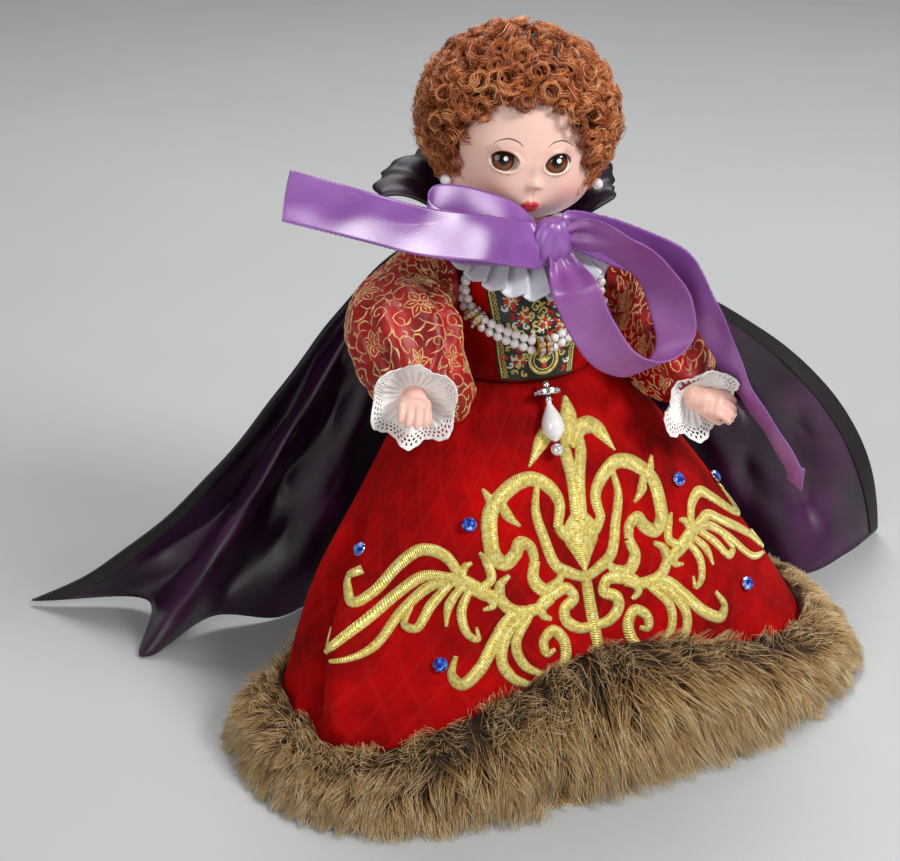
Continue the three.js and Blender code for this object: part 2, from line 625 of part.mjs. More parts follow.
// Front of the bodice at a place across and up
function bodiceFront(x, z) {
  const next = Math.max(1, BODICE_ROWS.findIndex((row) => row[0] >= z));
  const [low, high] = [BODICE_ROWS[next - 1], BODICE_ROWS[next]];
  const share = (z - low[0]) / (high[0] - low[0]);
  const [, halfWidth, halfDepth, shift] = low.map((value, i) => lerp(value, high[i], share));
  return -halfDepth * Math.sqrt(Math.max(0, 1 - (x / halfWidth) ** 2)) - shift;
}

function bodice() {
  const armholes = [-1, 1].flatMap((side) => [
    block(side * (ARMHOLE_X - CLEARANCE + 20), 0, SHOULDER_Z - 10, 40, 80, 100),
    rod(vec(side * (TORSO_SIDE - 4), 0, SHOULDER_Z), vec(side * 40, 0, SHOULDER_Z),
      SHOULDER_CAP + CLEARANCE, 16),
  ]);
  const inner = ovalBody(TORSO_ROWS.slice(2), TORSO_SIDES, CLEARANCE);
  const throat = rod(vec(0, 0, NECK_Z - 6), vec(0, 0, NECK_Z + 4), NECK_RADIUS + 1.6, TORSO_SIDES);
  place("bodice", cut(ovalBody(BODICE_ROWS, 24), inner, throat, ...armholes), VELVET, body);
  const panelOut = 2 * CLEARANCE + CLOTH / 2;
  const panelLow = WAIST_Z + 1;
  const panelHigh = SHOULDER_Z + 5;
  const panel = (u, v) => {
    const x = (u - 0.5) * PANEL_WIDTH * lerp(1, 0.8, v);
    const z = lerp(panelHigh, panelLow, v);
    return vec(x, bodiceFront(x, z) - panelOut, z);
  };
  place("bodice_panel", sheet(panel, 6, 6, CLOTH), JACQUARD, body);
}
bodice();

// Skirt: gathered at the waist, swept forward and out to the hem, with a smooth embroidered front and folds
// round the sides and back. Angle 0 points to the doll's left, -90 to the front.
const SKIRT_TOP_Z = WAIST_Z - CLEARANCE;
const SKIRT_COLUMNS = 52;
const SKIRT_ROWS = 6;
const HEM_FRONT_POWER = 3;        // boxy in front, tapering behind
const HEM_BACK_POWER = 1.9;
const CREASE_ANGLE = -150;        // one deep fold beside the embroidered front
const CREASE_WIDTH = 7;
const CREASE_DEPTH = 8;

const turned = (angle) => THREE.MathUtils.euclideanModulo(angle + Math.PI, 2 * Math.PI) - Math.PI;
const fromFront = (angle) => Math.abs(turned(angle + Math.PI / 2));

function skirtPoint(angle, fall, offset = 0, folded = 1) {
  const flare = fall ** 0.74;
  const halfWidth = lerp(WAIST_WIDTH, SKIRT_WIDTH, flare) / 2;
  const halfDepth = lerp(WAIST_DEPTH, SKIRT_DEPTH, flare) / 2;
  const cosine = Math.cos(angle);
  const sine = Math.sin(angle);
  const power = lerp(2, sine > 0 ? HEM_BACK_POWER : HEM_FRONT_POWER, fall);
  const round = (Math.abs(cosine) ** power + Math.abs(sine) ** power) ** (-1 / power);
  const loose = smooth(fromFront(angle), 1.3, 1.7);
  const crease = turned(angle - rad(CREASE_ANGLE));
  const tuck = CREASE_DEPTH * smooth(fall, 0.45, 0.85) * Math.exp(-((crease / rad(CREASE_WIDTH)) ** 2));
  const wave = loose * FOLD_DEPTH * Math.cos(SKIRT_FOLDS * angle);
  const out = offset + folded * (smooth(fall, 0.05, 0.8) * wave - tuck);
  const x = halfWidth * round * cosine + out * cosine;
  const y = halfDepth * round * sine + out * sine - 1 - (SKIRT_FORWARD - 1) * fall ** 0.8;
  const twist = rad(BODY_YAW) * (1 - fall) ** 2;
  return vec(x, y, lerp(SKIRT_TOP_Z, SKIRT_HEM_Z, fall)).applyAxisAngle(UP, twist);
}
const fallAt = (z) => (SKIRT_TOP_Z - z) / (SKIRT_TOP_Z - SKIRT_HEM_Z);

function gown() {
  const skirt = (u, v) => skirtPoint(2 * Math.PI * u, v);
  place("skirt", sheet(skirt, SKIRT_COLUMNS, SKIRT_ROWS, CLOTH, true), VELVET);
  const petticoat = (u, v) => {
    const fall = lerp(0.02, 0.95, v);
    const p = skirtPoint(2 * Math.PI * u, fall, 0, 0);
    const middle = -(SKIRT_FORWARD * 0.9) * fall ** 0.8;
    return vec(p.x * PETTICOAT_SHARE, middle + (p.y - middle) * PETTICOAT_SHARE, p.z);
  };
  place("petticoat", sheet(petticoat, 26, 4, CLOTH, true), COTTON);
}
gown();

// Fur hem: a thick band outside the skirt's edge, flat underneath, on which the doll stands
const FUR_GAP = CLOTH / 2 + 2 * CLEARANCE;

function furHem() {
  const section = (angle) => {
    const foot = skirtPoint(angle, 1, FUR_GAP);
    const lastRow = skirtPoint(angle, 1 - 1 / SKIRT_ROWS, FUR_GAP);
    const crest = Math.exp(-((fromFront(angle) / rad(FUR_CREST_WIDTH)) ** 2));
    const height = lerp(FUR_LOW, FUR_HEIGHT, crest);
    const top = skirtPoint(angle, fallAt(height), FUR_GAP + 0.4);
    const out = (share, z) => {
      const p = skirtPoint(angle, Math.min(1, fallAt(z)), FUR_GAP + FUR_DEPTH * share, 0.4);
      return vec(p.x, p.y, z);
    };
    return [
      vec(foot.x, foot.y, 0), foot, lastRow, top, out(0.6, height + 1), out(1, height * 0.65),
      out(1, height * 0.25), out(0.7, 0),
    ];
  };
  const positions = [];
  const index = [];
  const ring = section(0).length;
  for (let i = 0; i < SKIRT_COLUMNS; i += 1) {
    section((2 * Math.PI * i) / SKIRT_COLUMNS).forEach((p) => positions.push(p.x, p.y, p.z));
    for (let k = 0; k < ring; k += 1) {
      const next = (i + 1) % SKIRT_COLUMNS;
      const a = i * ring + k;
      const b = i * ring + ((k + 1) % ring);
      const c = next * ring + ((k + 1) % ring);
      const d = next * ring + k;
      index.push(a, b, c, a, c, d);
    }
  }
  place("fur_hem", outward(positions, index), FUR);
}
furHem();

// Blue stones set on the skirt: the angle from the middle of the front and the height above the floor
const STONE_PLACES = [[-35, 67.5], [43, 67.5], [-75, 57.5], [75, 57.5], [-39, 34.5], [43, 34]];

// A place on the outside of the skirt with the direction square to the cloth
function onSkirt(angle, z, lift) {
  const fall = fallAt(z);
  const step = 0.01;
  const across = skirtPoint(angle + step, fall).sub(skirtPoint(angle - step, fall));
  const down = skirtPoint(angle, fall + step).sub(skirtPoint(angle, fall - step));
  const normal = down.cross(across).normalize();
  return { point: skirtPoint(angle, fall).addScaledVector(normal, lift), normal };
}

function stones() {
  const half = STONE_DIAMETER / 2;
  const girdle = STONE_HEIGHT * 0.45;
  const profile = [[0, 0], [half * 0.8, 0], [half, girdle], [half * 0.6, STONE_HEIGHT], [0, STONE_HEIGHT]];
  STONE_PLACES.forEach(([degrees, z], i) => {
    const { point, normal } = onSkirt(rad(degrees - 90), z, CLOTH / 2 + 2 * CLEARANCE);
    const stone = new THREE.LatheGeometry(profile.map(([x, y]) => new THREE.Vector2(x, y)), 8);
    const mesh = place(`skirt_stone_${i + 1}`, stone, BLUE_STONE);
    mesh.position.copy(point);
    mesh.quaternion.setFromUnitVectors(vec(0, 1, 0), normal);
  });
}
stones();

// Ruff: a pleated frill round the front of the neck
const RUFF_INNER = NECK_RADIUS + 1;
const RUFF_OPEN = 8;              // degrees left open on each side, where the collar begins

function ruff() {
  const pleated = (u, v) => {
    const angle = rad(lerp(-180 + RUFF_OPEN, -RUFF_OPEN, u));
    const forward = Math.max(0, -Math.sin(angle));
    const reach = lerp(RUFF_WIDTH / 2, RUFF_REACH, forward ** 2);
    const radius = lerp(RUFF_INNER, reach, v);
    const pleat = RUFF_PLEAT_HEIGHT * lerp(0.15, 1, v) * Math.cos(2 * Math.PI * RUFF_PLEATS * u);
    const z = NECK_Z + 0.8 - lerp(1.5, RUFF_DROP, forward) * v ** 1.2 + pleat * lerp(0.5, 1, forward);
    return vec(radius * Math.cos(angle), radius * Math.sin(angle), z);
  };
  place("ruff", sheet(pleated, 2 * RUFF_PLEATS, 1, CLOTH / 2), LACE, body);
}
ruff();

// Cape: a floor-length cloak gathered behind the neck. Its front edges are thrown open on both sides.
// Each rib runs from the neck to the hem, and the cloth passes through all of them.
const CAPE_NECK_Z = NECK_Z - 4.5;
const CAPE_NECK = new THREE.Vector2(13.4, 12.2);
const CAPE_NECK_SPREAD = [142, 38];
const capeRib = (x, y, z) => vec(x, y, z).multiplyScalar(CAPE_SPAN / 285);
const CAPE_RIBS = [
  [capeRib(-48, 34, 140), capeRib(-62, 42, 44), capeRib(-133, 90, 3)],
  [capeRib(-38, 36, 138), capeRib(-56, 50, 46), capeRib(-99, 69, 5)],
  [capeRib(-33, 31, 138), capeRib(-62, 33, 52), capeRib(-110, 43, 1)],
  [capeRib(-27, 34, 136), capeRib(-46, 46, 56), capeRib(-84, 50, 6)],
  [capeRib(-18, 35, 136), capeRib(-38, 38, 52), capeRib(-62, 46, 2)],
  [capeRib(-10, 36, 135), capeRib(-20, 48, 50), capeRib(-34, 56, 2)],
  [capeRib(0, 36, 135), capeRib(0, 40, 50), capeRib(-4, 48, 2)],
  [capeRib(10, 36, 135), capeRib(20, 48, 50), capeRib(30, 57, 2)],
  [capeRib(18, 35, 136), capeRib(38, 38, 52), capeRib(58, 47, 2)],
  [capeRib(27, 35, 132), capeRib(56, 40, 56), capeRib(86, 34, 2)],
  [capeRib(32, 34, 126), capeRib(78, 25, 64), capeRib(107, -6, 2)],
  [capeRib(34, 33, 119), capeRib(104, 13, 76), capeRib(130, -2, 2)],
  [capeRib(35, 32, 114), capeRib(138, 5, 92), capeRib(150, 7, 2)],
];

function cape() {
  const rails = [0, 1, 2].map((k) => new THREE.CatmullRomCurve3(CAPE_RIBS.map((rib) => rib[k])));
  const last = CAPE_RIBS.length - 1;
  const cloth = (u, v) => {
    const angle = rad(lerp(CAPE_NECK_SPREAD[0], CAPE_NECK_SPREAD[1], u));
    const neck = vec(CAPE_NECK.x * Math.cos(angle), CAPE_NECK.y * Math.sin(angle), CAPE_NECK_Z);
    const [first, second, hem] = rails.map((rail) => rail.getPoint(THREE.MathUtils.clamp(u, 0, 1)));
    return new THREE.CubicBezierCurve3(neck, first, second, hem).getPoint(v);
  };
  place("cape", sheet(cloth, 2 * last, 9, CLOTH), BLACK_CLOTH);
  const collar = (u, v) => {
    const angle = rad(lerp(180 - RUFF_OPEN, RUFF_OPEN, u));
    const wave = 1.6 * v * Math.cos(2 * Math.PI * COLLAR_PLEATS * u);
    const reach = (COLLAR_WIDTH / 2 - CAPE_NECK.x) * v ** 0.9 + wave;
    const x = (CAPE_NECK.x + reach) * Math.cos(angle) - COLLAR_SHIFT * v;
    const y = (CAPE_NECK.y + reach * 0.8) * Math.sin(angle);
    return vec(x, y, CAPE_NECK_Z + 1.4 + (COLLAR_RISE + 5 * Math.sin(angle)) * v ** 1.2);
  };
  place("cape_collar", sheet(collar, 2 * COLLAR_PLEATS, 4, CLOTH), BLACK_CLOTH);
}
cape();

// Satin bow at the throat: a knot, two loops and two tails of one ribbon
function ribbon(name, route, tilts, steps, looped) {
  const curve = new THREE.CatmullRomCurve3(route);
  const tilt = new THREE.CatmullRomCurve3(tilts);
  const strip = (u, v) => {
    const across = tilt.getPoint(u).normalize();
    const fromKnot = looped ? Math.min(u, 1 - u) : u;
    const width = RIBBON_WIDTH * lerp(RIBBON_GATHER, 1, smooth(fromKnot, 0, 0.15));
    return curve.getPoint(u).addScaledVector(across, width * (v - 0.5));
  };
  place(name, sheet(strip, steps, 2, RIBBON_THICKNESS), SATIN);
}

function bow() {
  const knot = new THREE.SphereGeometry(1, 10, 8).rotateX(Math.PI / 2);
  knot.scale(KNOT_SIZE.x / 2, KNOT_SIZE.y / 2, KNOT_SIZE.z / 2).translate(...KNOT.toArray());
  place("ribbon_knot", knot, SATIN);
  const from = (x, y, z) => KNOT.clone().add(vec(x, y, z));
  const beside = (side, y, z) => {
    const edge = Math.sqrt(1 - (2 * y / KNOT_SIZE.y) ** 2 - (2 * z / KNOT_SIZE.z) ** 2);
    return from(side * (edge * KNOT_SIZE.x / 2 + 2 * CLEARANCE), y, z);
  };
  const upright = vec(0.2, 0, 1);
  ribbon("ribbon_tail_right", [beside(-1, -1, 0), vec(-26, -30, 150.5), vec(-44, -29, 155),
    vec(-63, -28, 162.5), vec(-81.5, -28, 170)],
  [UP, upright, upright, upright, vec(0.28, 0, 1)], 10, false);
  ribbon("ribbon_loop_right", [beside(-1, 3, 1), vec(-20, -25.5, 152), vec(-34, -25.5, 156.5),
    vec(-40, -27.2, 156), vec(-34, -27.6, 152), vec(-20, -27.6, 148), beside(-1, 1.2, 0)],
  [UP, upright, upright, upright, upright, upright, UP], 16, true);
  const open = vec(0.63, -0.61, 0.47);
  const round = [vec(10.9, -37, 144.3), vec(21, -38, 136), vec(28.3, -38, 123.4),
    vec(29.6, -38, 112.5), vec(22, -38, 106.8), vec(11.3, -38, 110.8), vec(1.8, -38, 123.7),
    vec(-2.3, -36.5, 134)];
  const under = from(2, -KNOT_SIZE.y / 2 - 1.4, -KNOT_SIZE.z / 2 - 1);
  ribbon("ribbon_loop_left", [beside(1, -2.5, 1), ...round, under],
    [vec(0, -0.2, 1), vec(0.25, -0.3, 0.95), vec(0.5, -0.45, 0.8), open, open, open, open,
      vec(0.75, -0.45, 0.35), vec(0.85, -0.35, 0.25), vec(0.95, -0.2, 0.1)], 27, true);
  ribbon("ribbon_tail_left", [beside(1, 1, 2), vec(20, -31.2, 139.5), vec(39, -39, 123.2),
    vec(47.5, -43.5, 108.2), vec(54.5, -45.5, 92), vec(63, -47, 77), vec(75, -45, 58)],
  [UP, vec(0.4, -0.1, 0.9), vec(0.5, -0.2, 0.8), vec(0.3, -0.5, 0.7), vec(0, -0.75, 0.6),
    vec(-0.2, -0.8, 0.5), vec(-0.1, -0.6, 0.7)], 16, false);
}
bow();

// Pearls: strands of fused beads that lie on the bodice, with crystal rondelles between them
const PEARL_LIFT = 3 * CLEARANCE + CLOTH + PEARL_DIAMETER / 2;
const UPPER_STRAND = [[19.5, 126.5], [17, 121.3], [13, 118.3], [6.8, 115.4], [3.6, 113.9]];
const LOWER_STRAND = [[20.3, 123.4], [17.6, 118.3], [13.2, 115.3], [6.8, 112.4], [3.6, 110.9]];

function pearlStrand(name, places) {
  const lying = places.map(([x, z]) => vec(x, bodiceFront(x, z) - PEARL_LIFT, z));
  const curve = new THREE.CatmullRomCurve3(lying);
  const beads = Math.round(curve.getLength() / PEARL_DIAMETER);
  const waist = 0.45;
  const swell = (share) => Math.sin(Math.PI * ((share * beads) % 1)) ** 0.7;
  const radius = (share) => (PEARL_DIAMETER / 2) * lerp(waist, 1, swell(share));
  place(name, limb(curve, radius, beads * 2, 5), PEARL, body);
}

function necklace() {
  [["right", -1], ["left", 1]].forEach(([name, side]) => {
    const onSide = ([x, z]) => [x * side, z];
    pearlStrand(`pearl_strand_upper_${name}`, UPPER_STRAND.map(onSide));
    pearlStrand(`pearl_strand_lower_${name}`, LOWER_STRAND.map(onSide));
  });
  const half = RONDELLE_DIAMETER / 2;
  const z = 112.4;
  const y = bodiceFront(0, z) - 3 * CLEARANCE - CLOTH - half;
  const profile = [[0, -1.2], [half * 0.7, -1.2], [half, 0], [half * 0.7, 1.2], [0, 1.2]];
  const rondelle = new THREE.LatheGeometry(profile.map(([x, h]) => new THREE.Vector2(x, h)), 10);
  place("necklace_rondelle", rondelle.rotateZ(Math.PI / 2).translate(0, y, z), CRYSTAL, body);
}
necklace();

// Pendant: a rondelle, a pear drop and a small bead that hang on the front of the skirt
const PENDANT_TOP_Z = WAIST_Z - 2.5;
const PENDANT_TILT = 34;          // degrees from hanging straight, where the drop lies on the gathers

function pendant() {
  const group = new THREE.Group();
  const lift = CLOTH / 2 + DROP_DIAMETER / 2 + CLEARANCE;
  const { point } = onSkirt(rad(-90), PENDANT_TOP_Z, lift);
  group.position.copy(point);
  group.rotation.set(rad(-PENDANT_TILT), 0, rad(BODY_YAW), "ZXY");
  doll.add(group);
  const lathe = (profile, sides) => new THREE.LatheGeometry(
    profile.map(([x, y]) => new THREE.Vector2(x, y)), sides).rotateX(Math.PI / 2);
  const half = DROP_DIAMETER / 2;
  const top = -2.6;
  const end = top - DROP_LENGTH;
  const bottom = top + CLEARANCE;
  const rondelle = [[0, bottom], [half * 0.8, bottom], [half, bottom / 2], [half * 0.8, 0], [0, 0]];
  place("pendant_rondelle", lathe(rondelle, 10), CRYSTAL, group);
  place("pearl_drop", lathe([[0, end], [half * 0.6, end + 0.8], [half, end + 3.6], [half * 0.85, end + 6.4],
    [half * 0.4, top - 1.6], [0.6, top], [0, top]], 10), PEARL, group);
  place("pendant_bead", ball(0, 0, end - BEAD_DIAMETER / 2 - CLEARANCE, BEAD_DIAMETER / 2, 8, 6), CRYSTAL, group);
}
pendant();

doll.position.set(AXIS_X, AXIS_Y, 0);

export default doll;
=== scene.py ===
import math

import bpy
import numpy as np
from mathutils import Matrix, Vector


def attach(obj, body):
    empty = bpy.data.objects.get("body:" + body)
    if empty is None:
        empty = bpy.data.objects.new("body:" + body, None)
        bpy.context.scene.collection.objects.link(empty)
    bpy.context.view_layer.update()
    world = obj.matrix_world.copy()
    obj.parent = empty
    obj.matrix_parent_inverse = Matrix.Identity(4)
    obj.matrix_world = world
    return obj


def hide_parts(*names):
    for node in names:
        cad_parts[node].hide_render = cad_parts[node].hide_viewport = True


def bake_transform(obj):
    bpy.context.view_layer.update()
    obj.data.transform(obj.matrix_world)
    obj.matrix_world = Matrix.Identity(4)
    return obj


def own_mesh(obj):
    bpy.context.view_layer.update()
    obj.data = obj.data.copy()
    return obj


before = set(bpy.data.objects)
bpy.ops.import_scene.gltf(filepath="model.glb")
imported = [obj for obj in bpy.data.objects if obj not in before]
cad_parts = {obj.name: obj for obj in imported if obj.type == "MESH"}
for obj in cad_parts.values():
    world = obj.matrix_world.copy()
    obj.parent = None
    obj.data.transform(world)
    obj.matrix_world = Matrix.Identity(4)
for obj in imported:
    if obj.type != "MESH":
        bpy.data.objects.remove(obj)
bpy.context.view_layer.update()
bpy.ops.object.select_all(action="DESELECT")

MM = 0.001
AXIS = np.array([-9.4, -4.7, 0.0])      # the doll's upright axis in the frame, in mm
BODY_YAW = -9.0
CHANCE = np.random.default_rng(11)


# Camera: degrees, the point looked at in mm, and the way to it in m
CAMERA_TURN, CAMERA_RISE, CAMERA_DISTANCE = -26, 26, 0.534
CAMERA_TARGET = (-31.8, -4.7, 80.0)


def set_camera():
    turn, rise = math.radians(CAMERA_TURN), math.radians(CAMERA_RISE)
    target = Vector(CAMERA_TARGET) * MM
    back = Vector((math.sin(turn) * math.cos(rise), -math.cos(turn) * math.cos(rise), math.sin(rise)))
    bpy.ops.object.camera_add(location=target + back * CAMERA_DISTANCE)
    camera = bpy.context.object
    camera.rotation_euler = back.to_track_quat("Z", "Y").to_euler()
    camera.data.lens = 72
    camera.data.sensor_width = 36
    camera.data.sensor_fit = "HORIZONTAL"
    camera.data.clip_start = 0.01
    bpy.context.scene.camera = camera


set_camera()


# Small sums
def paint(red, green, blue):
    return tuple((c / 255) ** 2.2 for c in (red, green, blue)) + (1.0,)


def smooth(value, low, high):
    t = np.clip((value - low) / (high - low), 0, 1)
    return t * t * (3 - 2 * t)


def swell(value, low, full, late, gone):
    return smooth(value, low, full) * (1 - smooth(value, late, gone))


def bell(value, width):
    return np.exp(-((value / width) ** 2))


def near_zero(angle):
    """The same angle, between minus and plus half a turn."""
    return (angle + math.pi) % (2 * math.pi) - math.pi


def lerp(a, b, t):
    return a + (b - a) * t


def stack(x, y, z):
    return np.stack(np.broadcast_arrays(x, y, z), axis=-1).astype(float)


def turned(points, degrees, first, second):
    c, s = math.cos(math.radians(degrees)), math.sin(math.radians(degrees))
    a, b = points[..., first], points[..., second]
    made = np.array(points, float)
    made[..., first], made[..., second] = a * c - b * s, a * s + b * c
    return made


def turn_x(points, degrees):
    return turned(points, degrees, 1, 2)


def turn_y(points, degrees):
    return turned(points, degrees, 2, 0)


def turn_z(points, degrees):
    return turned(points, degrees, 0, 1)


def unit(vectors):
    return vectors / np.maximum(np.linalg.norm(vectors, axis=-1, keepdims=True), 1e-9)


def in_frame(points):
    return (np.asarray(points, float) + AXIS) * MM


def on_body(points):
    return turn_z(points, BODY_YAW)


def spline(points, t):
    """A smooth line through the points, t from 0 to 1."""
    points = np.asarray(points, float)
    last = len(points) - 1
    t = np.clip(np.asarray(t, float), 0, 1) * last
    low = np.clip(np.floor(t).astype(int), 0, last - 1)
    w = (t - low)[..., None]
    padded = np.vstack([2 * points[0] - points[1], points, 2 * points[-1] - points[-2]])
    p0, p1, p2, p3 = (padded[low + k] for k in range(4))

    def gap(a, b):
        return np.maximum(np.sqrt(np.linalg.norm(a - b, axis=-1, keepdims=True)), 1e-4)
    d0, d1, d2 = gap(p0, p1), gap(p1, p2), gap(p2, p3)
    t1 = ((p1 - p0) / d0 - (p2 - p0) / (d0 + d1) + (p2 - p1) / d1) * d1
    t2 = ((p2 - p1) / d1 - (p3 - p1) / (d1 + d2) + (p3 - p2) / d2) * d1
    return p1 + w * (t1 + w * (-3 * p1 + 3 * p2 - 2 * t1 - t2 + w * (2 * p1 - 2 * p2 + t1 + t2)))


def bezier(a, b, c, d, v):
    v = np.asarray(v)[..., None]
    return a * (1 - v) ** 3 + 3 * b * v * (1 - v) ** 2 + 3 * c * v * v * (1 - v) + d * v ** 3


# Finishes
def add_node(tree, kind, **values):
    node = tree.nodes.new(kind)
    for key, value in values.items():
        if hasattr(node, key):
            setattr(node, key, value)
        else:
            node.inputs[key.replace("_", " ")].default_value = value
    return node


def ramp_node(tree, stops):
    node = tree.nodes.new("ShaderNodeValToRGB")
    bar = node.color_ramp
    while len(bar.elements) < len(stops):
        bar.elements.new(0.5)
    for element, (place, colour) in zip(bar.elements, stops):
        element.position = place
        element.color = colour
    return node


def new_finish(name, roughness, **sockets):
    material = bpy.data.materials.new(name)
    material.use_nodes = True
    tree = material.node_tree
    shader = tree.nodes["Principled BSDF"]
    shader.inputs["Roughness"].default_value = roughness
    for key, value in sockets.items():
        shader.inputs[key.replace("_", " ")].default_value = value
    return material, tree, shader


def add_bump(tree, shader, height, strength, distance):
    bump = add_node(tree, "ShaderNodeBump", Strength=strength, Distance=distance)
    tree.links.new(height, bump.inputs["Height"])
    tree.links.new(bump.outputs["Normal"], shader.inputs["Normal"])


def add_colours(tree, shader, value, stops):
    colours = ramp_node(tree, stops)
    tree.links.new(value, colours.inputs["Fac"])
    tree.links.new(colours.outputs["Color"], shader.inputs["Base Color"])


def add_noise(tree, place, **values):
    noise = add_node(tree, "ShaderNodeTexNoise", **values)
    tree.links.new(place, noise.inputs["Vector"])
    return noise.outputs["Fac"]


def add_wave(tree, place, degrees, width, twist):
    """Ribs of a set width in mm, laid at an angle on the piece."""
    laid = add_node(tree, "ShaderNodeMapping")
    laid.inputs["Rotation"].default_value = (0, 0, math.radians(degrees))
    tree.links.new(place, laid.inputs["Vector"])
    wave = add_node(tree, "ShaderNodeTexWave", Scale=2 * math.pi / (20 * width), Distortion=twist)
    wave.inputs["Detail"].default_value = 2.0
    tree.links.new(laid.outputs["Vector"], wave.inputs["Vector"])
    return wave


def mottled(name, stops, roughness, scale, bump=0.15, grain=1500.0, depth=0.0002, **sockets):
    """A finish whose colour wanders softly over the piece, with a fine grain."""
    material, tree, shader = new_finish(name, roughness, **sockets)
    place = add_node(tree, "ShaderNodeTexCoord").outputs["Object"]
    add_colours(tree, shader, add_noise(tree, place, Scale=scale, Detail=5.0, Roughness=0.6), stops)
    add_bump(tree, shader, add_noise(tree, place, Scale=grain, Detail=2.0), bump, depth)
    return material


def woven(name, stops, roughness, scale, ribs, bump, turn=0.0, twist=0.0, **sockets):
    """A woven finish: ribs of a set width in mm along the piece's own length, with soft colour changes."""
    material, tree, shader = new_finish(name, roughness, **sockets)
    coordinates = add_node(tree, "ShaderNodeTexCoord")
    add_colours(tree, shader, add_noise(tree, coordinates.outputs["Object"], Scale=scale, Detail=4.0), stops)
    wave = add_wave(tree, coordinates.outputs["UV"], turn, ribs, twist)
    add_bump(tree, shader, wave.outputs["Fac"], bump, 0.0002)
    return material


def toned(name, stops, roughness, grain=2500.0, bump=0.1, **sockets):
    """A finish coloured along each strand by its own tone."""
    material, tree, shader = new_finish(name, roughness, **sockets)
    tone = add_node(tree, "ShaderNodeAttribute", attribute_name="tone")
    add_colours(tree, shader, tone.outputs["Fac"], stops)
    place = add_node(tree, "ShaderNodeTexCoord").outputs["Object"]
    add_bump(tree, shader, add_noise(tree, place, Scale=grain), bump, 0.0001)
    return material


def painted(name, roughness, grain, bump, **sockets):
    """A finish that shows the colours painted on the piece, painted shade and highlights among them."""
    material, tree, shader = new_finish(name, roughness, **sockets)
    colour = add_node(tree, "ShaderNodeAttribute", attribute_name="paint")
    tree.links.new(colour.outputs["Color"], shader.inputs["Base Color"])
    place = add_node(tree, "ShaderNodeTexCoord").outputs["Object"]
    add_bump(tree, shader, add_noise(tree, place, Scale=grain, Detail=3.0), bump, 0.0001)
    return material


def dyes(*colours):
    """Colour stops from the darkest tone to the brightest."""
    return [(0.3 + 0.4 * k / (len(colours) - 1), paint(*colour)) for k, colour in enumerate(colours)]


SKIN_TONES = dyes((241, 188, 170), (247, 202, 186))
SKIN = mottled("vinyl skin", SKIN_TONES, 0.42, 60, 0.05, 900, 0.0001, Subsurface_Weight=0.12,
               Subsurface_Scale=0.002)
FACE = painted("painted face", 0.4, 900, 0.04, Subsurface_Weight=0.1, Subsurface_Scale=0.002)
EYE = painted("glass eye", 0.12, 1200, 0.02, Specular_IOR_Level=0.35, Coat_Weight=0.35, Coat_Roughness=0.02)
LASH = mottled("lash paint", dyes((38, 20, 14), (60, 34, 22)), 0.5, 400)
HAIR = toned("auburn hair", [(0.0, paint(74, 26, 8)), (0.35, paint(166, 82, 38)), (0.7, paint(216, 124, 68)),
                             (1.0, paint(255, 188, 126))], 0.3, Specular_IOR_Level=0.7)
SCALP = mottled("wig cap", dyes((34, 12, 5), (70, 28, 12)), 0.7, 200)


def velvet_finish():
    """Red velvet: a nap that shifts from dark to bright, pressed in faint slanting squares whose paler lines are
    painted sheen.
    """
    stops = dyes((112, 2, 5), (156, 4, 7), (192, 8, 9))
    material = mottled("red velvet", stops, 0.9, 48, 0.55, 2600, 0.0003, Sheen_Weight=0.12, Sheen_Roughness=0.35,
                       Sheen_Tint=paint(255, 40, 34), Specular_IOR_Level=0.12)
    tree = material.node_tree
    shader = tree.nodes["Principled BSDF"]
    place = next(node for node in tree.nodes if node.type == "TEX_COORD").outputs["UV"]
    plain = shader.inputs["Base Color"].links[0].from_socket
    lines = []
    for turn in (38, -38):
        wave = add_wave(tree, place, turn, 10.0, 0.5)
        wave.inputs["Detail Scale"].default_value = 3.0
        thin = ramp_node(tree, [(0.93, (0, 0, 0, 1)), (1.0, (0.065, 0.065, 0.065, 1))])
        tree.links.new(wave.outputs["Fac"], thin.inputs["Fac"])
        lines.append(thin.outputs["Color"])
    both = add_node(tree, "ShaderNodeMix", data_type="RGBA", blend_type="LIGHTEN")
    both.inputs["Factor"].default_value = 1.0
    tree.links.new(lines[0], both.inputs[6])
    tree.links.new(lines[1], both.inputs[7])
    pressed = add_node(tree, "ShaderNodeMix", data_type="RGBA", blend_type="MIX")
    tree.links.new(both.outputs[2], pressed.inputs["Factor"])
    tree.links.new(plain, pressed.inputs[6])
    # The pressed lines' paler red is painted sheen, where the pressed pile would catch the light.
    pale = ramp_node(tree, [(0.0, paint(214, 60, 48)), (1.0, paint(226, 70, 58))])
    tree.links.new(lines[0], pale.inputs["Fac"])
    tree.links.new(pale.outputs["Color"], pressed.inputs[7])
    tree.links.new(pressed.outputs[2], shader.inputs["Base Color"])
    return material


VELVET = velvet_finish()
GOLD_THREAD = woven("gold thread", dyes((206, 176, 76), (234, 214, 112), (254, 244, 172)),
                    0.3, 900, 0.55, 0.9, 14, 0.6, Metallic=0.3, Sheen_Weight=0.15)
BROCADE = woven("red brocade", [(0.35, paint(128, 3, 5)), (0.65, paint(188, 10, 10))], 0.34, 110, 0.35, 0.3,
                90, 0.0, Sheen_Weight=0.04, Sheen_Tint=paint(255, 150, 130))
BROCADE_GOLD = woven("brocade gold", dyes((206, 140, 84), (248, 208, 152)), 0.34, 900, 0.3, 0.5,
                     0, 0.3, Metallic=0.35)
JACQUARD = woven("green jacquard", [(0.35, paint(18, 26, 20)), (0.65, paint(44, 58, 44))], 0.5, 160, 0.4, 0.5, 45)
RED_THREAD = woven("red thread", dyes((176, 20, 24), (224, 60, 50)), 0.45, 300, 0.3, 0.5)
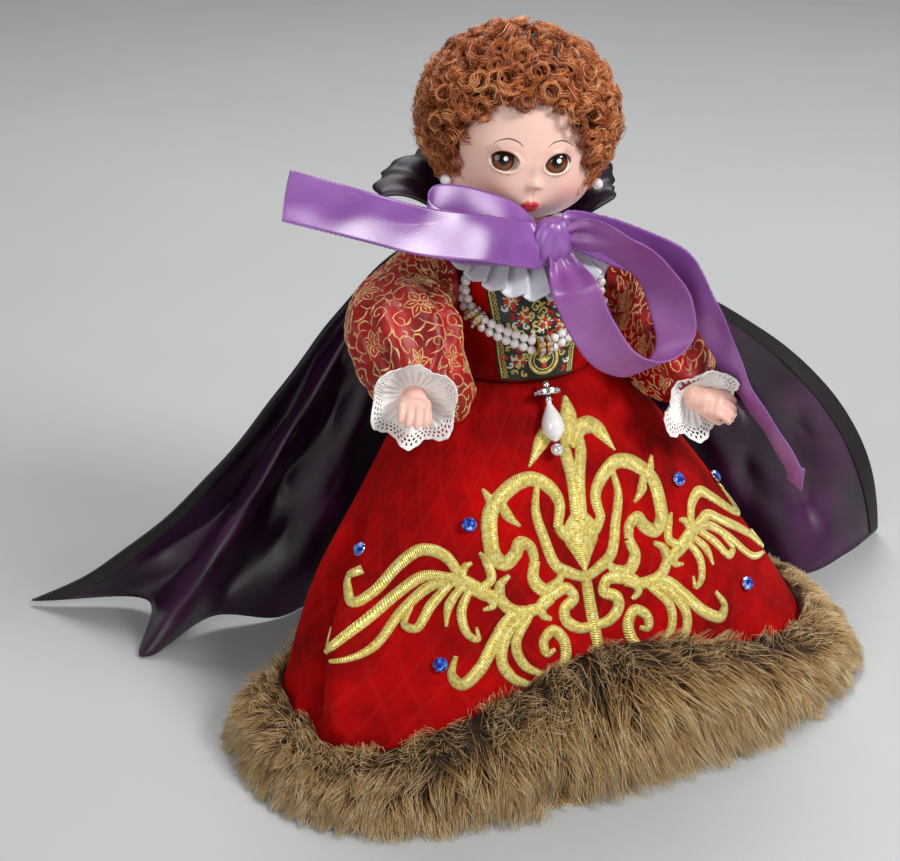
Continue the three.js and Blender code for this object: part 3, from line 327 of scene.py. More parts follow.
WHITE_THREAD = woven("white thread", dyes((226, 220, 206), (250, 246, 236)), 0.5, 300, 0.3, 0.5)
RUFF = woven("white satin", dyes((206, 206, 220), (232, 232, 238)), 0.42, 90, 0.5, 0.18,
             90, 0.4, Sheen_Weight=0.1)
LACE = woven("white cotton lace", dyes((236, 232, 230), (252, 250, 248)), 0.8, 120, 0.4, 0.4, 45)
COTTON = woven("petticoat cotton", dyes((224, 218, 206), (246, 242, 234)), 0.85, 60, 0.5, 0.3)
SATIN = woven("lilac satin", dyes((116, 62, 136), (142, 86, 164), (168, 112, 192)),
              0.33, 30, 0.5, 0.08, 0, 0.4, Specular_IOR_Level=1.0, Sheen_Weight=0.18, Sheen_Roughness=0.3,
              Sheen_Tint=paint(236, 206, 250), Anisotropic=0.6)
SATIN_REVERSE = woven("satin reverse", dyes((118, 58, 128), (148, 82, 156), (178, 110, 184)),
                      0.36, 30, 0.5, 0.12, 0, 0.4, Specular_IOR_Level=0.9, Sheen_Weight=0.15, Sheen_Roughness=0.3,
                      Sheen_Tint=paint(220, 180, 240), Anisotropic=0.6)
CAPE_OUTSIDE = woven("black taffeta", dyes((14, 11, 16), (32, 24, 34)), 0.5, 40, 0.4, 0.25,
                     0, 0.8, Sheen_Weight=0.15)
CAPE_LINING = woven("aubergine taffeta", dyes((26, 8, 26), (46, 17, 44), (74, 30, 72)),
                    0.32, 30, 0.5, 0.2, 0, 1.2, Specular_IOR_Level=0.62, Sheen_Weight=0.03,
                    Sheen_Tint=paint(170, 110, 190))
COLLAR_CLOTH = woven("collar satin", dyes((16, 8, 18), (44, 22, 46)), 0.36, 60, 0.5, 0.25, 90, 0.8)
CAPE_BORDER = woven("twill facing", dyes((18, 10, 16), (36, 21, 31)), 0.55, 60, 0.7, 0.8, 45)
FUR = toned("brown fur", [(0.0, paint(70, 46, 20)), (0.3, paint(146, 108, 58)), (0.62, paint(206, 168, 108)),
                          (1.0, paint(252, 236, 194))], 0.42, Sheen_Weight=0.15)
FUR_SKIN = mottled("fur backing", dyes((34, 21, 9), (70, 46, 22)), 0.9, 200)
PEARL = mottled("pearl", dyes((236, 229, 231), (246, 241, 238), (231, 231, 235)),
                0.16, 500, 0.02, Specular_IOR_Level=0.8, Coat_Weight=1.0, Coat_Roughness=0.05, Sheen_Weight=0.15)
SILVER = mottled("silver", dyes((196, 196, 200), (232, 232, 236)), 0.22, 300, 0.05, Metallic=1.0)
GILT = mottled("gilt metal", dyes((196, 150, 70), (236, 196, 110)), 0.25, 300, 0.05, Metallic=1.0)
CRYSTAL = mottled("crystal", dyes((214, 220, 232), (250, 250, 255)), 0.03, 400, 0.0,
                  Metallic=0.55, Coat_Weight=1.0)
# Blue stone colours from deep blue to near white: the near-white flecks are painted sparkle, highlights from the
# facets.
PAINTED_SPARKLE = [(0.36, paint(6, 22, 100)), (0.5, paint(24, 82, 214)), (0.58, paint(110, 172, 255)),
           (0.66, paint(236, 246, 255))]
BLUE_STONE = mottled("blue stone", PAINTED_SPARKLE, 0.05, 800, 0.0, Metallic=0.35, Coat_Weight=1.0)
BRASS = mottled("brass hook", dyes((150, 112, 46), (206, 168, 88)), 0.3, 200, 0.1, Metallic=1.0)
LEAD = mottled("lead weight", dyes((84, 86, 90), (130, 132, 136)), 0.5, 200, 0.2, Metallic=1.0)
ELASTIC = mottled("elastic", dyes((206, 200, 186), (232, 228, 216)), 0.8, 300, 0.4)
SHOE = mottled("black shoe", dyes((18, 15, 17), (40, 34, 37)), 0.3, 120, 0.1, Coat_Weight=0.4)


# Ways of making pieces
def focus(piece):
    bpy.ops.object.select_all(action="DESELECT")
    piece.select_set(True)
    bpy.context.view_layer.objects.active = piece


def apply_modifier(piece, kind, **values):
    focus(piece)
    modifier = piece.modifiers.new(kind.title(), kind)
    for key, value in values.items():
        setattr(modifier, key, value)
    bpy.ops.object.modifier_apply(modifier=modifier.name)


def finish_piece(piece, material, body, slot, *nodes):
    focus(piece)
    bpy.ops.object.shade_smooth()
    piece.data.materials.clear()
    piece.data.materials.append(material)
    if body:
        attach(piece, body)
    if nodes:
        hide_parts(*nodes)
    return piece


def close_faces(piece, merge=0.000002):
    focus(piece)
    bpy.ops.object.mode_set(mode="EDIT")
    bpy.ops.mesh.select_all(action="SELECT")
    bpy.ops.mesh.remove_doubles(threshold=merge)
    bpy.ops.mesh.normals_make_consistent(inside=False)
    bpy.ops.object.mode_set(mode="OBJECT")


def delete_picked(piece, kind, picked):
    """Cut the picked faces or corners away."""
    focus(piece)
    mesh = piece.data
    for group in (mesh.vertices, mesh.edges, mesh.polygons):
        group.foreach_set("select", np.zeros(len(group), bool))
    (mesh.polygons if kind == "FACE" else mesh.vertices).foreach_set("select", np.asarray(picked, bool))
    bpy.context.tool_settings.mesh_select_mode = (kind == "VERT", False, kind == "FACE")
    bpy.ops.object.mode_set(mode="EDIT")
    bpy.ops.mesh.delete(type=kind)
    bpy.ops.object.mode_set(mode="OBJECT")
    bpy.context.tool_settings.mesh_select_mode = (True, False, False)


def cloth_grid(name, columns, rows, place, size, wrap=False):
    """A flat grid laid onto a shape: across and along run from 0 to 1, size is the cloth's in mm."""
    bpy.ops.mesh.primitive_grid_add(x_subdivisions=columns, y_subdivisions=rows, size=1.0)
    piece = bpy.context.object
    piece.name = name
    mesh = piece.data
    mesh.name = name
    spots = np.empty(len(mesh.vertices) * 3)
    mesh.vertices.foreach_get("co", spots)
    flat = spots.reshape(-1, 3)
    across, along = np.clip(flat[:, 0] + 0.5, 0, 1), np.clip(0.5 - flat[:, 1], 0, 1)
    mesh.vertices.foreach_set("co", in_frame(place(across, along)).ravel())
    layer = mesh.uv_layers.active.data
    corners = np.empty(len(layer) * 2)
    layer.foreach_get("uv", corners)
    corners = corners.reshape(-1, 2) * np.array(size)
    layer.foreach_set("uv", corners.ravel())
    mesh.update()
    if wrap:
        close_faces(piece)
    return piece


def thicken(piece, thickness):
    apply_modifier(piece, "SOLIDIFY", thickness=thickness * MM, offset=0.0, use_even_offset=False)


def sew(piece, thickness, finish):
    """Gives a cloth its thickness and finish, and says what holds it."""
    thicken(piece, thickness)
    finish_piece(piece, *finish)


def mesh_piece(name, points, faces, uv=None, tone=None):
    """A piece from corner points in doll mm and faces of equal corner count in each list."""
    mesh = bpy.data.meshes.new(name)
    piece = bpy.data.objects.new(name, mesh)
    bpy.context.collection.objects.link(piece)
    flat = [np.asarray(group, np.int32) for group in faces if len(group)]
    loops = np.concatenate([group.ravel() for group in flat])
    counts = np.concatenate([np.full(len(group), group.shape[1], np.int32) for group in flat])
    starts = np.concatenate([[0], np.cumsum(counts)[:-1]]).astype(np.int32)
    mesh.vertices.add(len(points))
    mesh.vertices.foreach_set("co", in_frame(points).astype(np.float32).ravel())
    mesh.loops.add(len(loops))
    mesh.loops.foreach_set("vertex_index", loops)
    mesh.polygons.add(len(counts))
    mesh.polygons.foreach_set("loop_start", starts)
    if uv is not None:
        layer = mesh.uv_layers.new(name="UVMap")
        layer.data.foreach_set("uv", np.asarray(uv, np.float32)[loops].ravel())
    if tone is not None:
        layer = mesh.attributes.new("tone", "FLOAT", "POINT")
        layer.data.foreach_set("value", np.asarray(tone, np.float32))
    mesh.update()
    mesh.validate()
    return piece


def set_paint(mesh, colours):
    layer = mesh.attributes.new("paint", "FLOAT_COLOR", "POINT")
    layer.data.foreach_set("color", np.asarray(colours, np.float32).ravel())


def strands(name, paths, radii, tones):
    """Fine tapered strands of three sides: paths is strands x points x 3 in doll mm."""
    count, points, _ = paths.shape
    along = np.empty_like(paths)
    along[:, 1:-1] = paths[:, 2:] - paths[:, :-2]
    along[:, 0] = paths[:, 1] - paths[:, 0]
    along[:, -1] = paths[:, -1] - paths[:, -2]
    along = unit(along)
    helper = np.where(np.abs(along[..., 2:3]) > 0.9, np.array([1.0, 0, 0]), np.array([0, 0, 1.0]))
    side = unit(np.cross(along, helper))
    other = np.cross(along, side)
    rings = points - 1
    corners = []
    for k in range(3):
        a = 2 * math.pi * k / 3
        corners.append(paths[:, :rings] + radii[:, :rings, None] * (math.cos(a) * side[:, :rings]
                                                                   + math.sin(a) * other[:, :rings]))
    ring = np.stack(corners, axis=2).reshape(count, rings * 3, 3)
    everything = np.concatenate([ring, paths[:, -1:]], axis=1)
    each = rings * 3 + 1
    tone = np.concatenate([np.repeat(tones[:, :rings], 3, axis=1), tones[:, -1:]], axis=1)
    base = np.arange(count)[:, None] * each
    quads = []
    for r in range(rings - 1):
        for k in range(3):
            n = (k + 1) % 3
            quads.append([r * 3 + k, r * 3 + n, r * 3 + 3 + n, r * 3 + 3 + k])
    tips = [[(rings - 1) * 3 + k, (rings - 1) * 3 + (k + 1) % 3, rings * 3] for k in range(3)] + [[2, 1, 0]]
    quads = (base[:, :, None] + np.array(quads)[None]).reshape(-1, 4)
    tips = (base[:, :, None] + np.array(tips)[None]).reshape(-1, 3)
    return mesh_piece(name, everything.reshape(-1, 3), [quads, tips], tone=tone.ravel())


def surface_normal(surface, s, t, step):
    ds = surface(s + step, t) - surface(s - step, t)
    dt = surface(s, t + step) - surface(s, t - step)
    return unit(np.cross(ds, dt))


def stitched(name, strokes, surface, height, lift, out, step=0.05, pitch=0.8):
    """Raised stitching: each stroke is a path on the surface and its width in mm at both ends and middle."""
    points, quads, uvs = [], [], []
    profile = [(-0.5, -0.5), (-0.49, 0.25), (-0.33, 0.74), (0.0, 1.0), (0.33, 0.74), (0.49, 0.25), (0.5, -0.5),
               (0.0, -0.5)]
    for path, widths in strokes:
        path = np.asarray(path, float)
        trial = spline(path, np.linspace(0, 1, 40))
        rough = surface(trial[:, 0], trial[:, 1])
        length = np.linalg.norm(np.diff(rough, axis=0), axis=1).sum()
        count = max(6, int(length / pitch))
        t = np.linspace(0, 1, count)
        flat = spline(path, t)
        spots = surface(flat[:, 0], flat[:, 1])
        normal = surface_normal(surface, flat[:, 0], flat[:, 1], step) * out
        along = unit(np.gradient(spots, axis=0))
        side = unit(np.cross(normal, along))
        width = np.interp(t, np.linspace(0, 1, len(widths)), widths)
        high = height * np.minimum(1, width / (2.2 * height))
        start = sum(len(p) for p in points)
        block = []
        for across, up in profile:
            block.append(spots + side * (across * width)[:, None]
                         + normal * (lift + np.where(up > 0, up * high, up * min(lift, 0.3)))[:, None])
        block = np.stack(block, axis=1)
        n = len(profile)
        points.append(block.reshape(-1, 3))
        run = np.repeat(t * length, n)
        uvs.append(np.stack([run, np.tile(np.array([p[0] for p in profile]), count) * np.repeat(width, n)], axis=1))
        for i in range(count - 1):
            for k in range(n):
                m = (k + 1) % n
                row = start + i * n
                quads.append([row + k, row + m, row + n + m, row + n + k])
        for end in (0, count - 1):
            row = [start + end * n + k for k in range(n)]
            for a in ((0, 1, 2, 7), (2, 3, 7, 7), (3, 4, 7, 7), (4, 5, 6, 7)):
                corner = [row[k] for k in a]
                quads.append(corner if end else corner[::-1])
    quads = np.array(quads)
    flat_three = (quads[:, 2] == quads[:, 3]) | (quads[:, 0] == quads[:, 1])
    three = np.array([list(dict.fromkeys(row)) for row in quads[flat_three].tolist()])
    piece = mesh_piece(name, np.concatenate(points), [quads[~flat_three], three], uv=np.concatenate(uvs))
    close_faces(piece, 0.0000001)
    return piece


def joined(name, pieces):
    focus(pieces[0])
    for piece in pieces:
        piece.select_set(True)
    if len(pieces) > 1:
        bpy.ops.object.join()
    piece = bpy.context.object
    piece.name = name
    piece.data.name = name
    return piece


def put_ball(point, radius, segments, rings):
    bpy.ops.mesh.primitive_uv_sphere_add(segments=segments, ring_count=rings, radius=radius * MM,
                                         location=in_frame(point))
    bpy.ops.object.transform_apply(location=True, rotation=True, scale=True)
    return bpy.context.object


def turned_frame(axis):
    axis = unit(np.asarray(axis, float))
    helper = np.array([1.0, 0, 0]) if abs(axis[2]) > 0.8 else np.array([0, 0, 1.0])
    side = unit(np.cross(axis, helper))
    return axis, side, np.cross(axis, side)


def lathe(name, profile, sides, centre, axis):
    """A turned piece: profile is a list of radius and height in mm, closed on the axis at both ends."""
    axis, side, other = turned_frame(axis)
    points, quads, threes = [], [], []
    rows = profile[1:-1]
    points.append(np.asarray(centre) + axis * profile[0][1])
    for radius, height in rows:
        for k in range(sides):
            a = 2 * math.pi * k / sides
            points.append(np.asarray(centre) + axis * height + radius * (math.cos(a) * side + math.sin(a) * other))
    points.append(np.asarray(centre) + axis * profile[-1][1])
    last = len(points) - 1
    for k in range(sides):
        n = (k + 1) % sides
        threes.append([0, 1 + n, 1 + k])
        top = 1 + (len(rows) - 1) * sides
        threes.append([top + k, top + n, last])
        for r in range(len(rows) - 1):
            a = 1 + r * sides
            quads.append([a + k, a + n, a + sides + n, a + sides + k])
    faces = [quads, threes] if quads else [threes]
    piece = mesh_piece(name, np.array(points), faces)
    close_faces(piece, 0.0000001)
    return piece


# The gown's shapes, in doll mm: angle 0 is the doll's left, -90 degrees the front
WAIST, HEM, SKIRT_TOP, SKIRT_FOOT = (43.6, 36.8), (176.0, 90.0), 99.7, 2.5
SKIRT_WAVES, WAVE_DEPTH = 11, 3.2
FOLD_AT, FOLD_LEAN = 20, 32      # degrees: where the long fold lies at the hem, and how it leans
FOLD_DEPTH, FOLD_LIP, FOLD_LOBE, FOLD_LAP = 27, 7, 3, 4


def from_front(angle):
    return np.abs(near_zero(angle + math.pi / 2))


def skirt(angle, fall, offset=0.0, folded=1.0):
    fall = np.clip(fall, 0.0, 1.2)
    flare = fall ** 0.74
    half_w, half_d = lerp(WAIST[0], HEM[0], flare) / 2, lerp(WAIST[1], HEM[1], flare) / 2
    c, s = np.cos(angle), np.sin(angle)
    power = lerp(2, np.where(s > 0, 1.9, 3.0), np.minimum(fall, 1))
    round_ = (np.abs(c) ** power + np.abs(s) ** power) ** (-1 / power)
    loose = smooth(from_front(angle), 1.3, 1.7)
    crease = np.degrees(near_zero(angle - math.pi)) - (FOLD_AT - FOLD_LEAN * (0.95 - np.minimum(fall, 1)))
    roll = folded * smooth(fall, 0.34, 0.66)
    lobe = roll * (1 - smooth(fall, 0.9, 1.0))
    roll = roll * (1 - smooth(fall, 0.8, 0.92))
    tuck = roll * (FOLD_DEPTH * bell(crease, 6.6) - FOLD_LIP * bell(crease - 13, 7))
    tuck = tuck - FOLD_LOBE * lobe * bell(crease + 18, 11)
    out = offset + folded * smooth(fall, 0.05, 0.8) * loose * WAVE_DEPTH * np.cos(SKIRT_WAVES * angle) - tuck
    lap = -FOLD_LAP * roll * bell(crease - 8, 6.5)
    x = half_w * round_ * c + out * c - lap * s
    y = half_d * round_ * s + out * s + lap * c - 1 - 23 * fall ** 0.8
    twist = math.radians(BODY_YAW) * np.maximum(1 - fall, 0) ** 2
    z = lerp(SKIRT_TOP, SKIRT_FOOT, fall)
    return stack(x * np.cos(twist) - y * np.sin(twist), x * np.sin(twist) + y * np.cos(twist), z)


def fall_at(z):
    return (SKIRT_TOP - z) / (SKIRT_TOP - SKIRT_FOOT)


def soft_skirt(angle, fall):
    """The velvet as it hangs: small gathers under the waist and slack in the front."""
    gather = 0.28 * np.cos(24 * angle + 2 * np.sin(5 * angle)) * smooth(fall, 0.0, 0.03)
    gather *= 1 - smooth(fall, 0.05, 0.3)
    slack = 0.7 * np.sin(7 * angle + 1.4 + 3 * fall) * smooth(fall, 0.15, 0.5)
    slack *= 1 - smooth(from_front(angle), 1.2, 1.6)
    slack += 0.35 * np.sin(13 * angle - 9 * fall + 0.5 * np.sin(9 * fall)) * smooth(fall, 0.2, 0.6)
    tuck_in = -2.2 * (1 - smooth(fall, 0.0, 0.022))
    return skirt(angle, fall, gather + slack + tuck_in)


def gown():
    velvet = cloth_grid("velvet_skirt", 232, 74, lambda u, v: soft_skirt(2 * math.pi * u, v), (440, 110), wrap=True)
    sew(velvet, 0.8, (VELVET, "dressed_body", "velvet", "skirt"))

    def under(u, v):
        fall = lerp(0.02, 0.95, v)
        p = skirt(2 * math.pi * u, fall, 0, 1)
        middle = -21.6 * fall ** 0.8
        frill = 1 + 0.012 * v * np.cos(40 * math.pi * u)
        return stack(p[:, 0] * 0.84 * frill, middle + (p[:, 1] - middle) * 0.84 * frill, p[:, 2])
    cotton = cloth_grid("petticoat_cloth", 110, 22, under, (360, 100), wrap=True)
    sew(cotton, 0.6, (COTTON, "dressed_body", "cotton", "petticoat"))


gown()


# Gold embroidery on the front of the skirt: degrees out from the middle line, and height in mm
def skirt_middle(z):
    return -1.5 + 13 * np.clip((z - 30) / 65, 0, 1.05) ** 2.6


SCROLLS = [
    ([(0.3, 84.5), (6, 88.2), (13, 87.2), (19, 80.5)], (1.6, 4.4, 4.8, 4.0, 0.5)),
    ([(5.2, 87.5), (3.4, 82.5), (1.5, 76), (1.1, 65)], (0.6, 3.4, 3.2, 2.8)),
    ([(0, 63), (4.6, 62), (7.7, 65)], (2.0, 3.4, 2.6)),
    ([(7.6, 64.5), (6.8, 70.5), (9.9, 74.5), (16.7, 77.5), (22.6, 77), (27.8, 74), (30.3, 70.5), (29, 64.5),
      (26.8, 60),
      (23.5, 58), (20.8, 60), (19.7, 62.5), (16.4, 61), (15, 57.5)], (2.6, 3.6, 4.2, 4.2, 3.8, 3.4, 2.6)),
    ([(15, 57.5), (15.4, 53), (12.1, 49.5), (8.7, 50.5), (6.4, 53.5)], (2.8, 3.6, 3.4, 1.4)),
    ([(26.5, 75), (30, 73), (35.3, 76)], (1.4, 3.4, 0.8)),
    ([(27.7, 73.5), (24.6, 69.5), (20, 66.5)], (1.6, 3.0, 0.8)),
    ([(15.1, 77), (15.2, 70), (12.1, 62.5), (8.6, 55), (4.2, 52), (0, 50)], (1.4, 2.6, 3.0, 3.2, 2.6)),
    ([(0, 37), (4, 37.5), (7.2, 40.5), (7.3, 43.5), (4.3, 45.5), (6, 48.5), (10, 48), (13.4, 46.5), (13.2, 43.5),
      (11.2, 42)], (2.4, 3.2, 3.2, 3.0, 3.2, 2.8, 1.2)),
    ([(12.5, 26.5), (9, 30), (8.5, 35.5), (11.1, 39), (13.5, 37), (13, 33.5), (11, 34)], (2.6, 3.2, 3.0, 2.6, 1.2)),
    ([(14.8, 45.5), (21.3, 44.5), (25.1, 39), (28.5, 32.5), (32, 29.5), (34.5, 32), (34, 36.5)],
     (2.2, 3.4, 3.4, 3.0, 1.2)),
    ([(17.3, 45), (22.1, 40.5), (23.5, 34), (21, 29), (17.5, 26.5)], (1.8, 3.0, 3.0, 2.0)),
    ([(16.3, 44.5), (20.1, 38), (18.5, 32), (14, 28)], (1.6, 2.8, 2.6, 1.6)),
    ([(10.4, 47), (14.8, 45.5), (20.4, 46), (24.1, 49.5), (24.3, 53), (22.1, 55)], (2.4, 3.2, 3.2, 2.8, 1.2)),
    ([(24.1, 49), (28.2, 51), (33.9, 53.5), (38.6, 55)], (2.4, 3.8, 4.2, 3.4)),
    ([(35.1, 55), (42, 60), (50.9, 61), (56.9, 57), (64.6, 50), (69.5, 47.5), (74, 49.5), (78.3, 52), (74, 54.5)],
     (2.4, 3.2, 3.2, 2.8, 2.6, 2.4, 2.6)),
    ([(38.1, 55), (47.1, 55), (54, 50.5), (64.7, 42), (68.6, 37), (70.5, 35), (73.6, 39.5)],
     (2.4, 3.0, 3.0, 2.6, 2.0, 1.0)),
    ([(38, 54.5), (44.7, 52.5), (51.4, 46), (57, 37.5), (67, 34)], (2.2, 2.8, 2.8, 2.4, 1.0)),
    ([(38.4, 53.5), (42.5, 48.5), (45.2, 43), (49.2, 43.5), (48, 48)], (2.2, 2.8, 2.4, 2.0, 0.8)),
    ([(34.9, 53), (37.5, 48.5), (37.3, 43.5)], (2.0, 2.6, 0.8)),
    ([(32.4, 52.5), (33.9, 47), (31.7, 41.5), (29.1, 40), (29.7, 43)], (2.0, 2.6, 2.2, 1.6, 0.8)),
    ([(30.7, 51.5), (27, 54.5), (29.1, 59), (31.5, 61)], (2.0, 2.6, 2.4, 0.8)),
    ([(35.1, 55), (35, 57.5), (33, 58.5)], (1.8, 2.2, 0.8)),
    ([(28.1, 51), (25.9, 48), (28.4, 47)], (1.8, 2.2, 0.8)),
]
MIDDLE_SHAPES = [
    ([(0.5, 96), (0, 89.5), (0, 83.5)], (1.0, 5.0, 4.6, 1.2)),
    ([(0, 80.5), (0, 74), (0, 65.5)], (1.0, 3.0, 3.4, 3.6)),
    ([(0, 67.5), (0, 62), (0, 57), (0, 51.5)], (4.0, 10.5, 9.0, 4.6, 0.6)),
    ([(0, 51.5), (0, 46.5), (0, 39), (0, 29.5)], (2.6, 3.2, 3.4, 3.0)),
]


def embroidery():
    strokes = list(MIDDLE_SHAPES)
    for side in (-1, 1):
        for path, widths in SCROLLS:
            if side < 0:
                path = [(min(a, 58) + 0.72 * max(a - 58, 0), z) for a, z in path]
            strokes.append(([(side * a, z) for a, z in path], widths))

    def front(degrees, z):
        angle = np.radians(degrees + skirt_middle(z) - 90)
        return soft_skirt(angle, fall_at(z))
    strokes = [(path, tuple(1.13 * w for w in widths)) for path, widths in strokes]
    piece = stitched("skirt_embroidery", strokes, front, 1.0, 0.42, 1.0, 0.2, 0.6)
    finish_piece(piece, GOLD_THREAD, "dressed_body", "velvet")


embroidery()


# Blue stones, each in a small silver setting
STONE_PLACES = [(-35, 67.5), (43, 67.5), (-75, 57.5), (75, 57.5), (-39, 34.5), (43, 34)]
STONE_PROFILE = [(0, 0.1), (1.7, 0.1), (2.15, 0.7), (1.75, 1.3), (1.1, 1.75), (0, 1.75)]
SETTING_PROFILE = [(0, -0.4), (2.0, -0.4), (2.05, 0.25), (1.95, 0.45), (1.8, 0.3), (0, 0.2)]


def skirt_spot(degrees, z, lift):
    angle, fall = math.radians(degrees - 90), fall_at(z)
    step = 0.01
    across = skirt(angle + step, fall) - skirt(angle - step, fall)
    down = skirt(angle, fall + step) - skirt(angle, fall - step)
    normal = unit(np.cross(down, across))
    return skirt(angle, fall) + normal * lift, normal


def stones():
    for i, (degrees, z) in enumerate(STONE_PLACES):
        point, normal = skirt_spot(degrees, z, 1.0)
        stone = lathe(f"blue_stone_{i + 1}", STONE_PROFILE, 12, point, normal)
        finish_piece(stone, BLUE_STONE, "dressed_body", "blue_stone", f"skirt_stone_{i + 1}")
        bpy.ops.object.shade_flat()
        rim = lathe(f"stone_setting_{i + 1}", SETTING_PROFILE, 20, point, normal)
        finish_piece(rim, SILVER, "dressed_body", "crystal")


stones()


# Fur hem
def fur_height(angle):
    dip = near_zero(angle + math.radians(150))
    return lerp(14, 31, bell(from_front(angle), math.radians(32))) - 3.5 * bell(dip, 0.33)


def fur_out(angle, share, z):
    p = skirt(angle, np.minimum(1, fall_at(z)), 1.0 + 13 * share, 0.4)
    return stack(p[..., 0], p[..., 1], z)


def fur_face(angle, s):
    """The outside of the band: s from 0 at its top edge to 1 at the floor."""
    high = fur_height(angle)
    z = (high + 1.5) * (1 - s) + 0.4 * s
    share = np.interp(s, [0, 0.12, 0.35, 0.75, 1.0], [0.12, 0.42, 0.72, 0.78, 0.5])
    return fur_out(angle, share, z)


def fur_backing():
    def band(u, v):
        angle = 2 * math.pi * u
        outer = fur_face(angle, np.clip(v / 0.6, 0, 1))
        high = fur_height(angle)
        inner_z = np.interp(np.clip((v - 0.6) / 0.4, 0, 1), [0, 0.25, 1.0], [0.0, 0.0, 1.0]) * (high + 1.5) + 0.4
        inner = skirt(angle, np.minimum(1, fall_at(inner_z)), 1.0)
        inner = stack(inner[:, 0], inner[:, 1], inner_z)
        blend = smooth(v, 0.6, 0.7)[:, None]
        both = np.where(v[:, None] <= 0.6, outer, lerp(fur_face(angle, np.ones_like(v)), inner, blend))
        return np.where((v >= 0.999)[:, None], fur_face(angle, np.zeros_like(v)), both)
    backing = cloth_grid("fur_backing", 200, 24, band, (560, 60), wrap=True)
    finish_piece(backing, FUR_SKIN, "dressed_body", "fur", "fur_hem")


def fur_lie(angle, s, sway, pull):
    """Root, and the way a hair leaves it: up over the velvet at the top edge, out and down below."""
    root = fur_face(angle, s)
    step = 0.01
    around = unit(fur_face(angle + step, s) - fur_face(angle - step, s))
    down = unit(fur_face(angle, np.minimum(s + 0.02, 1.02)) - fur_face(angle, s - 0.02))
    normal = unit(np.cross(down, around))
    outwards = stack(np.cos(angle), np.sin(angle), 0 * angle)
    normal = normal * np.sign((normal * outwards).sum(1) + 0.3 * normal[:, 2] + 1e-6)[:, None]
    rise, droop = 1 - smooth(s, 0.02, 0.22), smooth(s, 0.1, 0.6)
    lean = unit(normal * lerp(0.55, 0.5, droop)[:, None] + down * lerp(0.9, -0.15, rise)[:, None]
                + around * sway[:, None])
    long = lerp(8.5, 16.0, (fur_height(angle) - 14) / 17) * (1 - 0.35 * rise) * pull
    long = long * (1 - 0.4 * bell(near_zero(angle), 0.75))
    return root, lean, long, droop


FUR_STEPS = np.array([0, 0.34, 0.68, 1.0])


def fur_hang(root, lean, long, droop):
    t, gravity = FUR_STEPS, np.array([0, 0, -1.0])
    return root[:, None] + (lean * long[:, None])[:, None] * t[None, :, None] \
        + (long * lerp(0.05, 0.28, droop))[:, None, None] * gravity * (t ** 2)[None, :, None]


def fur_pile():
    """Hairs in locks: each hair leans towards the middle of its own lock."""
    t, locks, count = FUR_STEPS, 1500, 26000
    at = CHANCE.uniform(0, 2 * math.pi, locks * 2)
    at = at[CHANCE.uniform(0, 1, locks * 2) < 0.2 + 0.8 * (from_front(at) < 1.9)][:locks]
    locks = len(at)
    level = CHANCE.uniform(0, 1, locks)
    sway = CHANCE.normal(0, 0.3, locks) + 0.25 * np.sin(9 * at + 4 * level)
    pull = CHANCE.uniform(0.75, 1.2, locks)
    own = CHANCE.integers(0, locks, count)
    angle = at[own] + CHANCE.normal(0, 0.022, count)
    s = np.clip(level[own] + CHANCE.normal(0, 0.06, count), 0, 1)
    root, lean, long, droop = fur_lie(angle, s, sway[own] + CHANCE.normal(0, 0.12, count),
                                      pull[own] * CHANCE.uniform(0.8, 1.1, count))
    paths = fur_hang(root, lean, long, droop)
    tuft = fur_hang(*fur_lie(at, level, sway, pull))[own]
    gather = (0.62 * t ** 1.6)[None, :, None]
    paths = lerp(paths, tuft, gather) + CHANCE.normal(0, 0.35, paths.shape) * t[None, :, None]
    paths[..., 2] = np.maximum(paths[..., 2], 0.25)
    radii = CHANCE.uniform(0.095, 0.156, count)[:, None] * np.array([1.0, 0.9, 0.6, 0.0])
    shade = CHANCE.normal(0, 0.1, count) + CHANCE.normal(0, 0.09, locks)[own] + 0.16 * smooth(s, 0.45, 1.0) \
        - 0.1 * (1 - smooth(s, 0, 0.4))
    tones = np.clip(shade[:, None] + np.array([0.12, 0.38, 0.6, 0.84]), 0, 1)
    part = np.argsort(angle)
    for i, some in enumerate(np.array_split(part, 4)):
        piece = strands(f"fur_pile_{i + 1}", paths[some], radii[some], tones[some])
        finish_piece(piece, FUR, "dressed_body", "fur")


fur_backing()
fur_pile()


# Bodice, its jacquard front and the ruff: in the body's own turned frame
BODICE_ROWS = np.array([[100.3, 21.5, 17.5, 1], [108, 20.5, 16.5, 1.5], [118, 22.5, 17, 2], [128, 24, 15.5, 1],
                        [134, 20, 13.2, 0], [138, 12.6, 11, 0], [140.5, 10.4, 10, 0]])


def bodice_row(z):
    return [np.interp(z, BODICE_ROWS[:, 0], BODICE_ROWS[:, k]) for k in (1, 2, 3)]


def bodice_front(x, z):
    half_w, half_d, shift = bodice_row(z)
    return -half_d * np.sqrt(np.maximum(0, 1 - (x / half_w) ** 2)) - shift


def bodice():
    def velvet(u, v):
        angle = 2 * math.pi * u
        z = lerp(100.0, 140.6, v)
        half_w, half_d, shift = bodice_row(z)
        pull = 0.35 * np.sin(9 * angle + 12 * v) * swell(v, 0.1, 0.4, 0.5, 0.9)
        x = np.clip((half_w + pull) * np.cos(angle), -21.7, 21.7)
        return on_body(stack(x, (half_d + pull) * np.sin(angle) - shift, z))
    piece = cloth_grid("velvet_bodice", 110, 44, velvet, (125, 42), wrap=True)
    sew(piece, 0.8, (VELVET, "dressed_body", "velvet", "bodice"))


bodice()


def panel_place(x, z):
    return on_body(stack(x, bodice_front(x, z) - 1.3, z))


def ring_path(cx, cz, radius, count):
    a = np.linspace(0, 2 * math.pi, count)
    return [(cx + radius * math.cos(t), cz + radius * math.sin(t)) for t in a]


